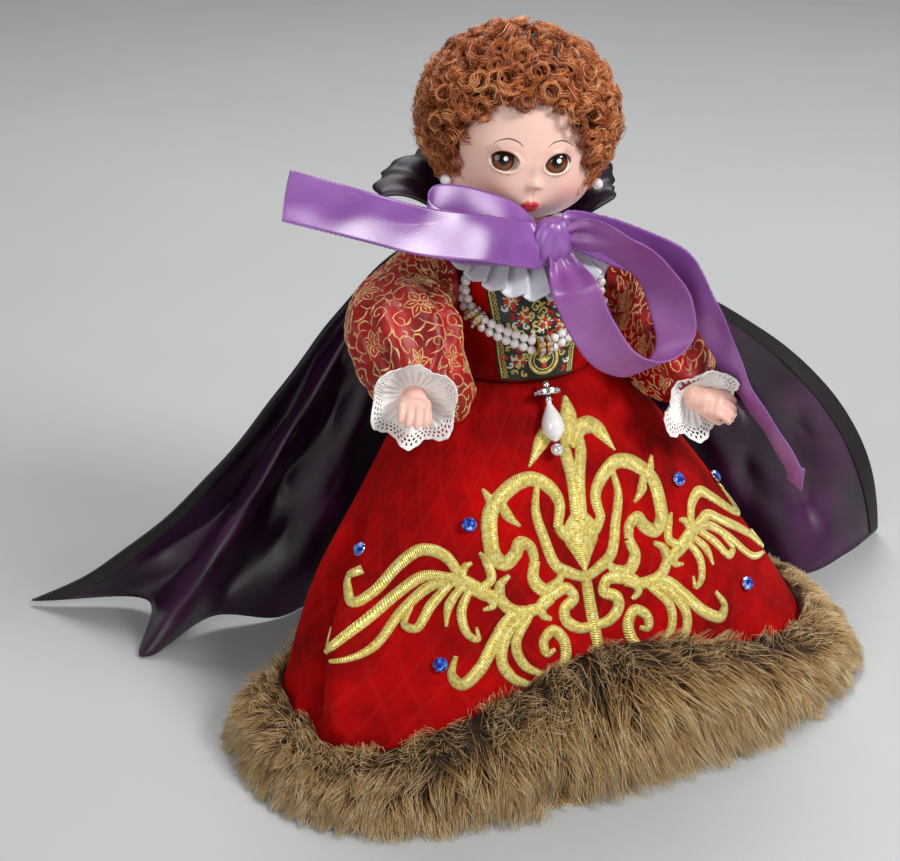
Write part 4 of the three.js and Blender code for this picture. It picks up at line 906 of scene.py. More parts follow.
def jacquard():
    def cloth(u, v):
        return panel_place((u - 0.52) * 30 * lerp(1, 0.72, v), lerp(133, 101, v))
    panel = cloth_grid("jacquard_panel", 50, 58, cloth, (25, 34))
    sew(panel, 0.6, (JACQUARD, "dressed_body", "jacquard", "bodice_panel"))
    gold, red, white = [], [], []
    for side in (-1, 1):
        def rim(v, inset):
            return (side / 2 - 0.02) * 30 * lerp(1, 0.72, v) - side * inset, 133 - 32 * v
        gold.append(([rim(v, 0.7) for v in np.linspace(0.02, 0.98, 8)], (0.5, 0.5)))
        for v in np.linspace(0.04, 0.96, 24):
            gold.append((ring_path(*rim(v, 1.7), 0.5, 8), (0.32, 0.32)))
    gold.append((ring_path(1.0, 106.8, 4.1, 24), (1.0, 1.0)))
    gold.append((ring_path(1.0, 106.8, 3.0, 18), (0.4, 0.4)))
    for k in range(5):
        a, b = math.radians(-90 + 36 * (k - 2)), math.radians(36 * (k - 2))
        gold.append(([(1.0, 105.2), (1.0 + 1.4 * math.cos(a), 106.6 - 1.2 * math.sin(a)),
                      (1.0 + 2.3 * math.sin(b), 106.6 + 2.0 * math.cos(b))], (0.3, 0.8, 0.3)))
    red.append(([(1.0, 104.4), (1.0, 105.8)], (1.8, 1.2)))
    blooms = ((-3.6, 128.0, 0.3), (3.8, 124.5, 1.1), (-5.0, 120.5, 0.0), (1.0, 118.5, 0.7), (6.2, 117.0, 0.6),
              (-3.0, 113.5, 0.9), (5.6, 110.5, 0.2), (-6.0, 107.0, 0.5), (5.0, 130.5, 0.5), (-8.6, 125.0, 0.1),
              (-9.0, 116.0, 0.4), (-9.6, 131.0, 0.6))
    for cx, cz, turn in blooms:
        for k in range(6):
            a = turn + k * math.pi / 3
            c, d = math.cos(a), math.sin(a)
            petal = [(cx + 0.4 * c, cz + 0.4 * d), (cx + 2.0 * c, cz + 2.0 * d)]
            (red if k % 2 else gold).append((petal, (0.5, 1.3, 0.5)))
            b, e = math.cos(a + 0.52), math.sin(a + 0.52)
            white.append(([(cx + 1.5 * b, cz + 1.5 * e), (cx + 2.3 * b, cz + 2.3 * e)], (0.25, 0.6, 0.2)))
        white.append((ring_path(cx, cz, 0.32, 8), (0.6, 0.6)))
    for x, z in ((-6.5, 131), (0.4, 122), (-1.4, 124), (7.5, 121), (-8.0, 116.5), (2.4, 114), (-6.6, 111.5),
                 (-2.4, 109.5), (-2.0, 117)):
        curl = [(x - 1.4, z - 0.8), (x, z + 0.8), (x + 1.2, z), (x + 0.4, z - 0.9), (x - 0.2, z - 0.2)]
        gold.append((curl, (0.3, 0.7, 0.6, 0.3)))
        red.append(([(x + 0.6, z + 1.6), (x + 1.8, z + 2.2)], (0.4, 0.9, 0.3)))
    for row, z in enumerate(np.arange(103.2, 132, 2.5)):
        for x in np.arange(-10.2 + 1.4 * (row % 2), 9, 2.8):
            if math.hypot(x - 1.0, z - 106.8) < 5.2 or abs(x + 0.4) > 13 - (133 - z) * 0.11:
                continue
            a = CHANCE.uniform(0, 2 * math.pi)
            tip = [(x + 0.9 * math.cos(a + k), z + 0.9 * math.sin(a + k)) for k in (0, 1.2, 2.4, 3.4)]
            (gold, red, gold, white)[int(CHANCE.integers(4))].append((tip + [(x, z)], (0.3, 0.75, 0.75, 0.4)))
    for name, strokes, material in (("panel_gold", gold, GOLD_THREAD), ("panel_red", red, RED_THREAD),
                                    ("panel_white", white, WHITE_THREAD)):
        piece = stitched(name, strokes, panel_place, 0.32, 0.28, 1.0, 0.05, 0.5)
        finish_piece(piece, material, "dressed_body", "jacquard")


jacquard()


def ruff():
    pleats = 14

    def pleated(u, v):
        angle = np.radians(lerp(-172, -8, u))
        forward = np.maximum(0, -np.sin(angle))
        reach = lerp(26, 30, forward ** 2)
        t = (u * pleats) % 1.0
        knife = np.where(t < 0.8, t / 0.8, (1 - t) / 0.2)
        lap = np.where(t < 0.8, 0.0, 0.55) * (np.where(t < 0.8, 0, np.sin(math.pi * (t - 0.8) / 0.2)))
        angle = angle - np.radians(lap * 7.0 * v)
        radius = lerp(8.8, reach, v) + 0.5 * v * knife
        lift = 3.1 * (knife - 0.5) * lerp(0.25, 1, v) * lerp(0.6, 1, forward)
        z = 143.8 - lerp(1.0, 13.5, forward) * v ** 1.2 + lift
        return on_body(stack(radius * np.cos(angle), radius * np.sin(angle), z))
    piece = cloth_grid("pleated_ruff", 340, 22, pleated, (260, 22))
    sew(piece, 0.3, (RUFF, "dressed_body", "lace", "ruff"))


ruff()


# Arms: hard plastic arms with cupped hands, brocade sleeves and lace cuffs
WRIST = np.array([44.0, -1, -46])
ELBOW = np.array([37.0, 4, -22])
FOREARM = unit(WRIST - ELBOW)
SLEEVE_END = WRIST - 3 * FOREARM
SHOULDER_HEIGHT = 128.0
RAISE = {"right": 66.0, "left": 40.0}
SIDE = {"right": -1.0, "left": 1.0}


def on_arm(points, which):
    points = points * np.array([SIDE[which], 1, 1])
    return on_body(turn_x(points, -RAISE[which]) + np.array([0, 0, SHOULDER_HEIGHT]))


def across_frame(line):
    first = unit(np.array([0, 1.0, 0]) - line * line[..., 1:2])
    return first, unit(np.cross(line, first))


def sleeve(u, v, which):
    v = np.clip(v, 0, 1)
    ends = [np.array(p) for p in ((22.4, 0, 0), (37.0, 3, -2), (41.0, 5, -24))]
    line = unit(lerp(np.array([1.0, 0, 0]), FOREARM, smooth(v, 0, 0.8)[..., None]))
    first, second = across_frame(line)
    gather = np.cos((v - 0.62) / 0.38 * math.pi / 2)
    radius = np.where(v < 0.62, lerp(12.2, 17, np.minimum(v / 0.62, 1) ** 1.25),
                      lerp(5.6, 17, np.maximum(gather, 0) ** 0.8))
    angle = 2 * math.pi * u
    fold = 0.9 * np.cos(9 * angle + 1.5 * np.sin(3 * angle)) * swell(v, 0.55, 0.85, 0.93, 1.0)
    fold += 0.5 * np.cos(14 * angle) * (1 - smooth(v, 0.05, 0.35)) * smooth(v, 0, 0.05)
    fold += 1.0 * np.sin(3 * angle + 6 * v) * swell(v, 0.1, 0.4, 0.8, 1)
    fold += 0.75 * np.sin(5 * angle - 13 * v + 1.2 * np.sin(2 * angle)) * smooth(v, 0.05, 0.25) \
        * (1 - smooth(v, 0.85, 1))
    fold += 0.35 * np.sin(8 * angle + 23 * v + 2.0) * swell(v, 0.1, 0.3, 0.85, 1)
    for at, slant in ((0.6, 2.6), (1.9, -2.2), (3.0, 3.0), (4.1, -2.8), (5.3, 2.2)):
        near = near_zero(angle - at - slant * (v - 0.45))
        fold -= 1.5 * bell(near, 0.2) * swell(v, 0.12, 0.4, 0.72, 0.95)
    radius = radius + fold
    p = bezier(*ends, SLEEVE_END, v)
    p = p + first * (radius * np.cos(angle))[..., None] + second * (radius * np.sin(angle))[..., None]
    room = 14 * v ** 1.5 if which == "left" else 7 * v ** 1.5
    p[..., 0] = np.maximum(p[..., 0], 22.4 + room)
    p, middle = on_arm(p, which), on_arm(bezier(*ends, SLEEVE_END, v), which)
    if which == "right":
        hang = swell(v, 0.3, 0.72, 0.9, 1.0) * np.clip((middle - p)[..., 2] / 15, 0, 1)
        p = p + hang[..., None] * np.array([7.5, -3.0, -5.5])
    return p


SLEEVE_WAY, SLEEVE_ROUND = 68.0, 96.0


def brocade_motifs():
    """One repeat of the brocade, drawn 24 mm wide and made 17.3: a pointed flower, leaves and a curling vine."""
    def spoke(far, turn):
        return 12 + far * math.cos(turn), 11 + far * math.sin(turn)
    strokes = []
    for k in range(6):
        a = k * math.pi / 3 + 0.2
        for turn in (-0.45, 0.45):
            strokes.append(([spoke(1.3, a + turn), spoke(3.8, a + turn), spoke(6.4, a)], (0.6, 1.0, 0.7)))
        strokes.append(([spoke(1.8, a), spoke(4.6, a)], (0.4, 1.1, 0.2)))
    strokes.append((ring_path(12, 11, 1.1, 10), (1.0, 1.0)))
    vines = ([(18.5, 14), (21.5, 16), (23, 19.5), (21, 22), (18.6, 20.8), (18.8, 18), (21, 18)],
             [(5.5, 8), (2.5, 6.5), (0.8, 3.2), (2.6, 0.8), (5.2, 1.8), (5, 4.4), (3, 4.4)],
             [(12, 17.5), (9.5, 20), (5.5, 20.5), (2.2, 18.5), (2.6, 15), (5.4, 14.2), (6.6, 16.4), (5, 17.6)],
             [(12, 4.5), (15, 2.6), (19, 2.4), (22, 4.8), (21.4, 8.2), (18.6, 8.6), (18, 6.4)])
    strokes += [(vine, (0.6, 1.0, 0.9, 0.5)) for vine in vines]
    leaves = ([(9.5, 20), (11, 22.5), (14.5, 23), (16.5, 21)], [(15, 2.6), (14.6, 0.4), (11, 0.6), (9.6, 2.6)],
              [(2.2, 18.5), (0.4, 20.5), (0.8, 23.2)], [(2.6, 15), (0.2, 13.6), (0.4, 10.6)],
              [(22, 4.8), (23.8, 3.0), (23.4, 0.4)], [(21.4, 8.2), (23.6, 9.6), (23.2, 12.6)],
              [(18.6, 20.8), (16.2, 19.0), (15.4, 17)], [(5.2, 1.8), (7.6, 3.0), (8.4, 5.0)],
              [(5.5, 20.5), (6.4, 22.6), (8.6, 23.6)], [(19, 2.4), (18.2, 0.6), (20.4, 0.2)],
              [(20.8, 12.2), (19.2, 11.6), (19.6, 10.4)],
              [(4.2, 11.6), (5.0, 10.2), (4.2, 9.4)])
    strokes += [(leaf, (0.4, 1.5, 1.3, 0.2)) for leaf in leaves]
    shorter, thinner = 0.72, 0.5
    return [([(x * shorter, y * shorter) for x, y in path], tuple(thinner * w for w in widths))
            for path, widths in strokes]


HAND_TURN = {"right": np.array([0.26, -0.75, -0.61]), "left": np.array([0.9, -0.35, 0.25])}
CUFF_TURN = {"right": np.array([0.13, -0.38, -0.3]), "left": np.array([-0.2, -0.75, -0.17])}


def arm_hand(which):
    """Elbow to fingertips in one smooth skin, with a plump hand and the fingers curled down."""
    line = unit(FOREARM + HAND_TURN[which])
    first, second = across_frame(line)
    limbs = [(np.array([31.0, 2, -9]), 4.6), (ELBOW, 4.5), (lerp(ELBOW, WRIST, 0.6), 4.1), (WRIST, 3.5),
             (WRIST + 3.0 * line, 3.9)]
    balls = []
    for (a, ra), (b, rb) in zip(limbs[:-1], limbs[1:]):
        for t in np.linspace(0, 1, 14):
            balls.append((lerp(a, b, t), lerp(ra, rb, t)))
    palm = WRIST + 5.2 * line
    for across in np.linspace(-2.5, 2.5, 6):
        for along in (-1.6, 0.2, 1.8):
            balls.append((palm + second * across + line * along - first * (0.6 - 0.08 * across ** 2), 2.2))
    for k, across in enumerate((-3.2, -1.1, 1.1, 3.1)):
        reach = (5.4, 6.3, 6.0, 4.9)[k]
        base = palm + line * 2.2 + second * across - first * 0.6
        for t in np.linspace(0, 1, 14):
            curl = 1.5 * t
            balls.append((base + line * reach * math.sin(curl) / 1.5 + first * reach * (1 - math.cos(curl)) / 1.5
                          + second * across * 0.06 * t, lerp(1.3, 0.98, t)))
    base = palm - line * 1.4 - second * 3.0 + first * 0.6
    for t in np.linspace(0, 1, 12):
        point = base - second * (2.3 * t - 1.2 * t * t) + line * 4.6 * t + first * 2.2 * t
        balls.append((point, lerp(1.6, 1.05, t)))
    made = [put_ball(on_arm(point[None], which)[0], radius, 10, 6) for point, radius in balls]
    piece = joined(f"arm_skin_{which}", made)
    apply_modifier(piece, "REMESH", mode="VOXEL", voxel_size=0.3 * MM)
    apply_modifier(piece, "SMOOTH", factor=0.5, iterations=4)
    finish_piece(piece, SKIN, f"{which}_arm", "skin", f"arm_{which}")


def brocade_sleeve(which):
    body = f"{which}_arm"
    cloth = cloth_grid(f"brocade_sleeve_{which}", 120, 56, lambda u, v: sleeve(u, v, which),
                       (SLEEVE_ROUND, SLEEVE_WAY), wrap=True)
    sew(cloth, 0.7, (BROCADE, body, "brocade", f"sleeve_{which}"))
    strokes = []
    columns, rows, tall = 6, 5, 17.3
    wide = SLEEVE_ROUND / columns
    lowest, highest = 1.5, 65.5
    for row in range(rows):
        for column in range(columns):
            rise = tall / 2 * (column % 2)
            for path, widths in brocade_motifs():
                path = [(x * wide / tall + wide * column, y + tall * row - 4 + rise) for x, y in path]
                if min(p[1] for p in path) > lowest and max(p[1] for p in path) < highest:
                    strokes.append((path, widths))
    flip = SIDE[which]

    def outside(s, t):
        return sleeve(flip * s / SLEEVE_ROUND + 0.1, t / SLEEVE_WAY, which)
    probe = np.array([30.0])
    normal = surface_normal(outside, probe, probe, 0.1)[0]
    middle = sleeve(np.linspace(0, 1, 24), np.full(24, 30 / SLEEVE_WAY), which).mean(axis=0)
    out = float(np.sign(np.dot(normal, outside(probe, probe)[0] - middle)))
    gold = stitched(f"brocade_pattern_{which}", strokes, outside, 0.3, 0.32, out, 0.1, 1.15)
    finish_piece(gold, BROCADE_GOLD, body, "brocade")
    elbow = np.array([33.0, 3.0, -12.0])
    squeeze = on_arm(elbow + np.cross([1.0, 0, 0], FOREARM), which) - on_arm(elbow, which)
    for piece in (cloth, gold):
        tuple(in_frame(on_arm(elbow, which)))
        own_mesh(piece)


def lace_cuff(which):
    """A gathered frill whose net is cut out hole by hole."""
    line = unit(FOREARM + CUFF_TURN[which])
    first, second = across_frame(line)
    start = SLEEVE_END + 0.7 * FOREARM

    def frill(u, v):
        angle = 2 * math.pi * u
        wave = np.cos(6 * angle + 0.6 * np.sin(2 * angle))
        radius = lerp(3.3, 11.6, v ** 0.8) + 0.8 * v * wave
        depth = 1.2 + 6.0 * v ** 1.4 + 1.5 * v * np.sin(6 * angle + 1.0 + 0.5 * np.sin(angle))
        depth = depth + 0.3 * np.cos(27 * angle) * smooth(v, 0.9, 1)
        depth += 0.45 * np.cos(24 * angle) * swell(v, 0.02, 0.2, 0.4, 0.75)
        p = start + line * depth[:, None] + first * (radius * np.cos(angle))[:, None] \
            + second * (radius * np.sin(angle))[:, None]
        return on_arm(p, which)
    lace = cloth_grid(f"lace_cuff_{which}", 270, 40, frill, (74, 11), wrap=True)
    focus(lace)
    mesh = lace.data
    corners = np.array([mesh.uv_layers.active.data[face.loop_start].uv[:] for face in mesh.polygons])
    u, v = corners[:, 0] / 74, 1 - corners[:, 1] / 11
    net = np.zeros(len(u), bool)
    for row, high in ((0.88, 0.045), (0.77, 0.035), (0.67, 0.03)):
        net |= (((u * 54 + 0.5 * round(row * 9) % 1) % 1) - 0.5) ** 2 / 0.27 ** 2 + ((v - row) / high) ** 2 < 1
    delete_picked(lace, "FACE", net)
    thicken(lace, 0.28)
    finish_piece(lace, LACE, f"{which}_arm", "lace", f"cuff_{which}")


for which in ("right", "left"):
    brocade_sleeve(which)
    lace_cuff(which)
    arm_hand(which)


# Cape: black outside, aubergine lining with a twill facing down both front edges, and a gathered collar
CAPE_RIBS = np.array([
    [(-48, 34, 140), (-62, 42, 44), (-133, 90, 3)], [(-38, 36, 138), (-56, 50, 46), (-99, 69, 5)],
    [(-33, 31, 138), (-62, 33, 52), (-110, 43, 1)], [(-27, 34, 136), (-46, 46, 56), (-84, 50, 6)],
    [(-18, 35, 136), (-38, 38, 52), (-62, 46, 2)], [(-10, 36, 135), (-20, 48, 50), (-34, 56, 2)],
    [(0, 36, 135), (0, 40, 50), (-4, 48, 2)], [(10, 36, 135), (20, 48, 50), (30, 57, 2)],
    [(18, 35, 136), (38, 38, 52), (58, 47, 2)], [(27, 35, 132), (56, 40, 56), (86, 34, 2)],
    [(32, 34, 126), (78, 25, 64), (107, -6, 2)], [(34, 33, 119), (104, 13, 76), (130, -2, 2)],
    [(35, 32, 114), (138, 5, 92), (150, 7, 2)]], float)


def cape(u, v):
    angle = np.radians(lerp(142, 38, u))
    neck = stack(13.4 * np.cos(angle), 12.2 * np.sin(angle), 138.5 + 0 * angle)
    first, second, hem = (spline(CAPE_RIBS[:, k], u) for k in range(3))
    p = bezier(neck, first, second, hem, v)
    p[..., 2] = np.maximum(p[..., 2] - 1.4 * smooth(v, 0.8, 1.0), 0.7)
    crush = 0.8 * np.sin(31 * u + 17 * v) * np.sin(23 * v - 9 * u)
    crush = crush + 1.3 * np.sin(19 * u + 7 * v + 2 * np.sin(5 * v))
    ridge = 1 - np.abs(np.sin(40 * u + 9 * v + np.sin(7 * v)))
    cross = 1 - np.abs(np.sin(15 * v - 24 * u + 1.5 * np.sin(9 * u)))
    fine = (1 - np.abs(np.sin(90 * u + 21 * v + 2 * np.sin(11 * v)))) \
        * (1 - np.abs(np.sin(41 * v - 55 * u + 2 * np.sin(13 * u))))
    wings = smooth(np.abs(u - 0.5), 0.1, 0.3) * (1 - smooth(np.abs(u - 0.5), 0.42, 0.5))
    crush = crush + wings * (3.2 * ridge * cross + 1.6 * ridge + cross + 0.5 * fine)
    return p + (crush * swell(v, 0.08, 0.35, 0.9, 1.0))[..., None] * np.array([0.2, 0.9, 0.1])


def cape_side(u, v, offset):
    step = 0.004
    across = cape(np.clip(u + step, 0, 1), v) - cape(np.clip(u - step, 0, 1), v)
    along = cape(u, np.clip(v + step, 0, 1)) - cape(u, np.clip(v - step, 0, 1))
    return cape(u, v) + unit(np.cross(across, along)) * offset


def cloak():
    for name, offset, material, *nodes in (("cape_outside", 0.3, CAPE_OUTSIDE, "cape"),
                                           ("cape_lining", -0.3, CAPE_LINING)):
        cloth = cloth_grid(name, 150, 72, lambda u, v: cape_side(u, v, offset), (330, 165))
        sew(cloth, 0.45, (material, "dressed_body", "taffeta", *nodes))
    for name, side in (("cape_facing_right", 0), ("cape_facing_left", 1)):
        def facing(u, v):
            share = lerp(0.004, 0.021, smooth(v, 0, 0.6)) * u
            return cape_side(np.where(side, 1 - share, share), lerp(0.02, 0.995, v), -0.72)
        band = cloth_grid(name, 9, 96, facing, (7, 190))
        sew(band, 0.3, (CAPE_BORDER, "dressed_body", "taffeta"))

    def collar(u, v):
        angle, stand = np.radians(lerp(172, -20, u)), smooth(u, 0.72, 0.98)
        v = v * np.sqrt(np.clip(1 - np.maximum((u - 0.93) / 0.07, 0) ** 2, 0.03, 1))
        wave = 1.0 * v * np.cos(19 * math.pi * u + 2.2 * np.sin(11 * u))
        wave = wave + 0.4 * v * np.cos(41 * math.pi * u + 1 + 2 * np.sin(7 * u))
        reach = (25.6 - 6.5 * stand) * v ** 0.9 + wave
        x = (13.4 + reach) * np.cos(angle) - 3 * v
        y = (12.2 + reach * 0.8) * np.sin(angle)
        z = 139.9 + (12 + 5 * np.sin(angle) - 4.5 * stand) * np.sin(1.95 * v ** 1.15) / math.sin(1.95)
        return stack(x, y, z + 0.8 * v * np.sin(17 * math.pi * u + 2))
    cloth = cloth_grid("gathered_collar", 210, 24, collar, (190, 30))
    sew(cloth, 0.7, (COLLAR_CLOTH, "dressed_body", "taffeta", "cape_collar"))


cloak()


# Satin bow
KNOT = np.array([-2.6, -23.5, 144.0])


def beside(side, y, z):
    edge = math.sqrt(1 - (2 * y / 8) ** 2 - (2 * z / 14) ** 2)
    return KNOT + np.array([side * (edge * 5.5 + 0.6), y, z])


def ribbon(name, route, tilts, looped, steps, length, node, pointed=0.0, material=SATIN, body="dressed_body"):
    """A strip of satin that leaves the knot gathered, opens to its full width and has a dotted edge."""
    def strip(u, v):
        across = unit(spline(tilts, v))
        from_knot = np.minimum(v, 1 - v) if looped else v
        width = 12.6 * lerp(0.55, 1, smooth(from_knot, 0.0, 0.2))
        picot = 0.3 * np.abs(np.sin(math.pi * v * length / 1.3)) * (np.abs(u - 0.5) > 0.47)
        pleats = np.cos(4 * math.pi * (u - 0.5)) * 0.6 * (1 - smooth(from_knot, 0.04, 0.22))
        p = spline(route, v - pointed * np.abs(u - 0.5) * 2 * smooth(v, 0.9, 1.0))
        along = unit(spline(route, np.minimum(v + 0.01, 1)) - spline(route, np.maximum(v - 0.01, 0)))
        normal = unit(np.cross(across, along))
        bow = 0.9 * np.cos(math.pi * (u - 0.5)) * np.sin(5.0 * v + 0.6) + 0.14 * np.sin(0.4 * v * length + 3 * u)
        p = p + across * (width * (u - 0.5) + np.sign(u - 0.5) * picot)[:, None]
        return p + normal * (pleats + bow)[:, None]
    piece = cloth_grid(name, 26, steps, strip, (12.6, length))
    sew(piece, 0.32, (material, body, "satin", node))
    return piece


def bow():
    def folds(u, v):
        angle, rise = 2 * math.pi * u, lerp(-math.pi / 2, math.pi / 2, v)
        waist = np.cos(rise) ** 0.62
        crease = 1 + 0.05 * np.cos(5 * angle + 1.6 * np.sin(rise) + 0.5) * waist
        wide = waist * (crease + 0.03 * np.cos(11 * angle - 2 * rise))
        return KNOT + stack(6.3 * wide * np.cos(angle), 4.4 * wide * np.sin(angle), 6.8 * np.sin(rise))
    knot = cloth_grid("ribbon_knot_folds", 110, 60, folds, (34, 15), wrap=True)
    finish_piece(knot, SATIN, "dressed_body", "satin", "ribbon_knot")
    up, lean = (0, 0.25, 1), (0.2, 0.42, 1)

    def inside(x, y, z):
        return KNOT + np.array([x, y, z])
    route = [inside(-3.0, -0.6, 0), beside(-1, -1, 0), (-26, -30, 150.5), (-44, -29, 155), (-63, -28, 162.5),
             (-81.5, -28, 170)]
    tilts = [up, (0, 0.4, 1), (0.15, 0.62, 1), (0.2, 0.48, 1), (0.2, 0.3, 1), (0.26, 0.12, 1)]
    ribbon("ribbon_tail_right_satin", route, tilts, False, 140, 88, "ribbon_tail_right")
    route = [inside(-3.0, 1.5, 1), beside(-1, 3, 1), (-17, -23, 151.5), (-30, -22.5, 156.8), (-38.5, -23.5, 158.2),
             (-41.5, -26, 156), (-35, -27.8, 151.5), (-20, -27.8, 148), beside(-1, 1.2, 0), inside(-3.0, 0.6, 0)]
    tilts = [up] * 2 + [lean] * 6 + [up] * 2
    ribbon("ribbon_loop_right_satin", route, tilts, True, 140, 80, "ribbon_loop_right")
    route = [inside(2.4, -2.0, 1.5), inside(6.4, -4.6, 2.4), (10.9, -37, 144.3), (21, -38, 136), (28.3, -38, 123.4),
             (29.6, -38, 112.5), (22, -38, 106.8), (11.3, -38, 110.8), (1.8, -38, 123.7), (-2.3, -36.5, 134),
             inside(1.2, -6.0, -6.6), inside(0.6, -3.4, -3.0)]
    tilts = [(0, -0.3, 1), (0.1, -0.3, 1)] + [(0.28, -0.8, 0.52)] * 2 + [(0.63, -0.61, 0.47)] * 4 \
        + [(0.75, -0.45, 0.35), (0.85, -0.35, 0.25), (0.95, -0.2, 0.1), (1, 0, 0)]
    ribbon("ribbon_loop_left_satin", route, tilts, True, 200, 122, "ribbon_loop_left", 0.0, SATIN_REVERSE)
    route = [inside(3.0, 0, 1.5), beside(1, 1, 2), (20, -31, 140), (31, -35.5, 134.5), (38.5, -40.5, 120.5),
             (44.5, -43, 108.2), (51, -44.5, 95.9), (59.6, -46, 83.1), (68.8, -46, 68.9), (74.5, -45, 59)]
    tilts = [up, up, (0.3, -0.2, 0.9), (0.2, -0.5, 0.83), (0.08, -0.64, 0.77), (-0.06, -0.73, 0.67),
             (-0.25, -0.79, 0.56), (-0.28, -0.8, 0.54), (-0.25, -0.8, 0.55), (-0.16, -0.77, 0.61)]
    tail = ribbon("ribbon_tail_left_satin", route, tilts, False, 170, 126, "ribbon_tail_left", 0.07, SATIN, None)
    tuple(in_frame((20, -31, 140)))
    tuple(in_frame((42, -42, 113)))
    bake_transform(tail)


bow()


# Pearls and crystals
UPPER_STRAND = [(15, 136.5), (18.6, 132.5), (20.2, 127.5), (18, 121.8), (13.2, 118.4), (6.8, 115.5), (3.4, 114)]
LOWER_STRAND = [(16.5, 134.2), (20, 130), (21.2, 125), (18.6, 119.2), (13.4, 115.6), (6.8, 112.6), (3.4, 111)]


RONDELLE_PROFILE = [(0, -0.9), (0.8, -0.9), (0.9, -0.55), (0.82, -0.3), (0.82, 0.3), (0.9, 0.55), (0.8, 0.9),
                    (0, 0.9)]
GEM_PROFILE = [(0, -0.2), (0.66, -0.2), (0.74, 0.1), (0.42, 0.5), (0, 0.5)]


def rondelle(name, centre, axis, radius, metal, body, *nodes):
    """A flat metal ring set with a row of crystals."""
    profile = [(radius * wide, high) for wide, high in RONDELLE_PROFILE]
    ring = lathe(f"{name}_rim", profile, 24, centre, axis)
    finish_piece(ring, metal, body, "crystal", *nodes)
    axis, side, other = turned_frame(axis)
    gems = []
    for k in range(10):
        a = 2 * math.pi * k / 10
        out = math.cos(a) * side + math.sin(a) * other
        gems.append(lathe(f"{name}_gem", GEM_PROFILE, 6, centre + out * radius * 0.82, out))
    gem = joined(f"{name}_crystals", gems)
    finish_piece(gem, CRYSTAL, body, "crystal")
    focus(gem)
    bpy.ops.object.shade_flat()


def necklace():
    for which, side in (("right", -1), ("left", 1)):
        lines = {}
        for level, places in (("upper", UPPER_STRAND), ("lower", LOWER_STRAND)):
            lying = np.array([(x * side, bodice_front(x * side, z) - 3.05, z) for x, z in places])
            fine = spline(lying, np.linspace(0, 1, 300))
            lines[level] = fine
            run = np.concatenate([[0], np.cumsum(np.linalg.norm(np.diff(fine, axis=0), axis=1))])
            beads = int(run[-1] / 2.5)
            even = np.linspace(0, run[-1], beads + 1)
            spots = np.stack([np.interp(even, run, fine[:, k]) for k in range(3)], axis=1)
            made = [put_ball(p, 1.34 + 0.06 * math.sin(7.0 * i), 16, 10) for i, p in enumerate(on_body(spots))]
            strand = joined(f"pearls_{level}_{which}", made)
            finish_piece(strand, PEARL, "dressed_body", "pearl", f"pearl_strand_{level}_{which}")
        middle = (lines["upper"] + lines["lower"]) / 2
        for n, share in enumerate((0.47, 0.53)):
            k = int(share * 299)
            along = on_body(middle[k + 4:k + 5] - middle[k - 4:k - 3])[0]
            spot = on_body(middle[k:k + 1] + np.array([0, -0.4, 0]))[0]
            rondelle(f"strand_spacer_{which}_{n + 1}", spot, along, 3.0, GILT, "dressed_body")
    y = float(bodice_front(0, 112.4)) - 4.2
    across = (math.cos(math.radians(9)), -math.sin(math.radians(9)), 0)
    for name, x, *nodes in (("necklace_middle_1", -1.15, "necklace_rondelle"), ("necklace_middle_2", 1.15)):
        rondelle(name, on_body(np.array([[x, y, 112.4]]))[0], across, 2.9, GILT, "dressed_body", *nodes)


necklace()

PENDANT = np.array([-13.085, -29.076, 99.918]) - AXIS


def on_pendant(points):
    return turn_z(turn_x(np.asarray(points, float), -34), BODY_YAW) + PENDANT


def pendant():
    top = on_pendant([[0, 0, 0]])[0]
    hang = on_pendant([[0, 0, -1.0]])[0] - top
    rondelle("pendant_top", on_pendant([[0, 0, -1.0]])[0], hang, 4.0, SILVER, "pendant", "pendant_rondelle")
    t = np.linspace(0, 1, 30)
    belly = [(max(0.75, 3.25 * math.sin(math.pi * s ** 1.5) ** 0.8), 2.6 + 13 * s) for s in t[1:-1]]
    profile = [(0.0, 2.6)] + belly + [(0.0, 15.6)]
    drop = lathe("pearl_pear", profile, 36, top, hang)
    finish_piece(drop, PEARL, "pendant", "pearl", "pearl_drop")
    cap = lathe("pendant_cap", [(0, 2.2), (0.8, 2.2), (1.1, 2.7), (1.2, 3.4), (1.0, 3.6), (0, 3.7)], 20, top, hang)
    finish_piece(cap, SILVER, "pendant", "crystal")
    bead = put_ball(on_pendant([[0, 0, -17.7]])[0], 1.8, 24, 16)
    bead.name = "clear_bead"
    finish_piece(bead, CRYSTAL, "pendant", "crystal", "pendant_bead")
    bead = put_ball(on_pendant([[0, 0, 1.1]])[0], 1.2, 20, 12)
    bead.name = "pendant_top_bead"
    finish_piece(bead, SILVER, "pendant", "crystal")


pendant()


# Head: a moulded face with painted cheeks and lips, sleep eyes, lashes, and a curly wig
HEAD_AT = np.array([0, 2.0, 170])


def on_head(points):
    return turn_z(turn_x(turn_y(np.asarray(points, float), 5), -3), -15) + HEAD_AT


HEAD_WIDE, HEAD_DEEP, HEAD_TALL = 22.5, 23.5, 24     # half of the head's width, depth and height
EYE_X, EYE_Z = 7.3, -5.5008


def head_width(z, low, ahead):
    return HEAD_WIDE * (1 + 0.1 * ahead * bell(z + 0.35, 0.3)) * (1 - 0.1 * low ** 2)


def head_depth(z, low, ahead):
    chin = 1 + 0.12 * low * ahead - 0.12 * low * (1 - ahead)
    return HEAD_DEEP * chin * (1 + 0.2 * ahead * smooth(-z, 0.3, 0.8))


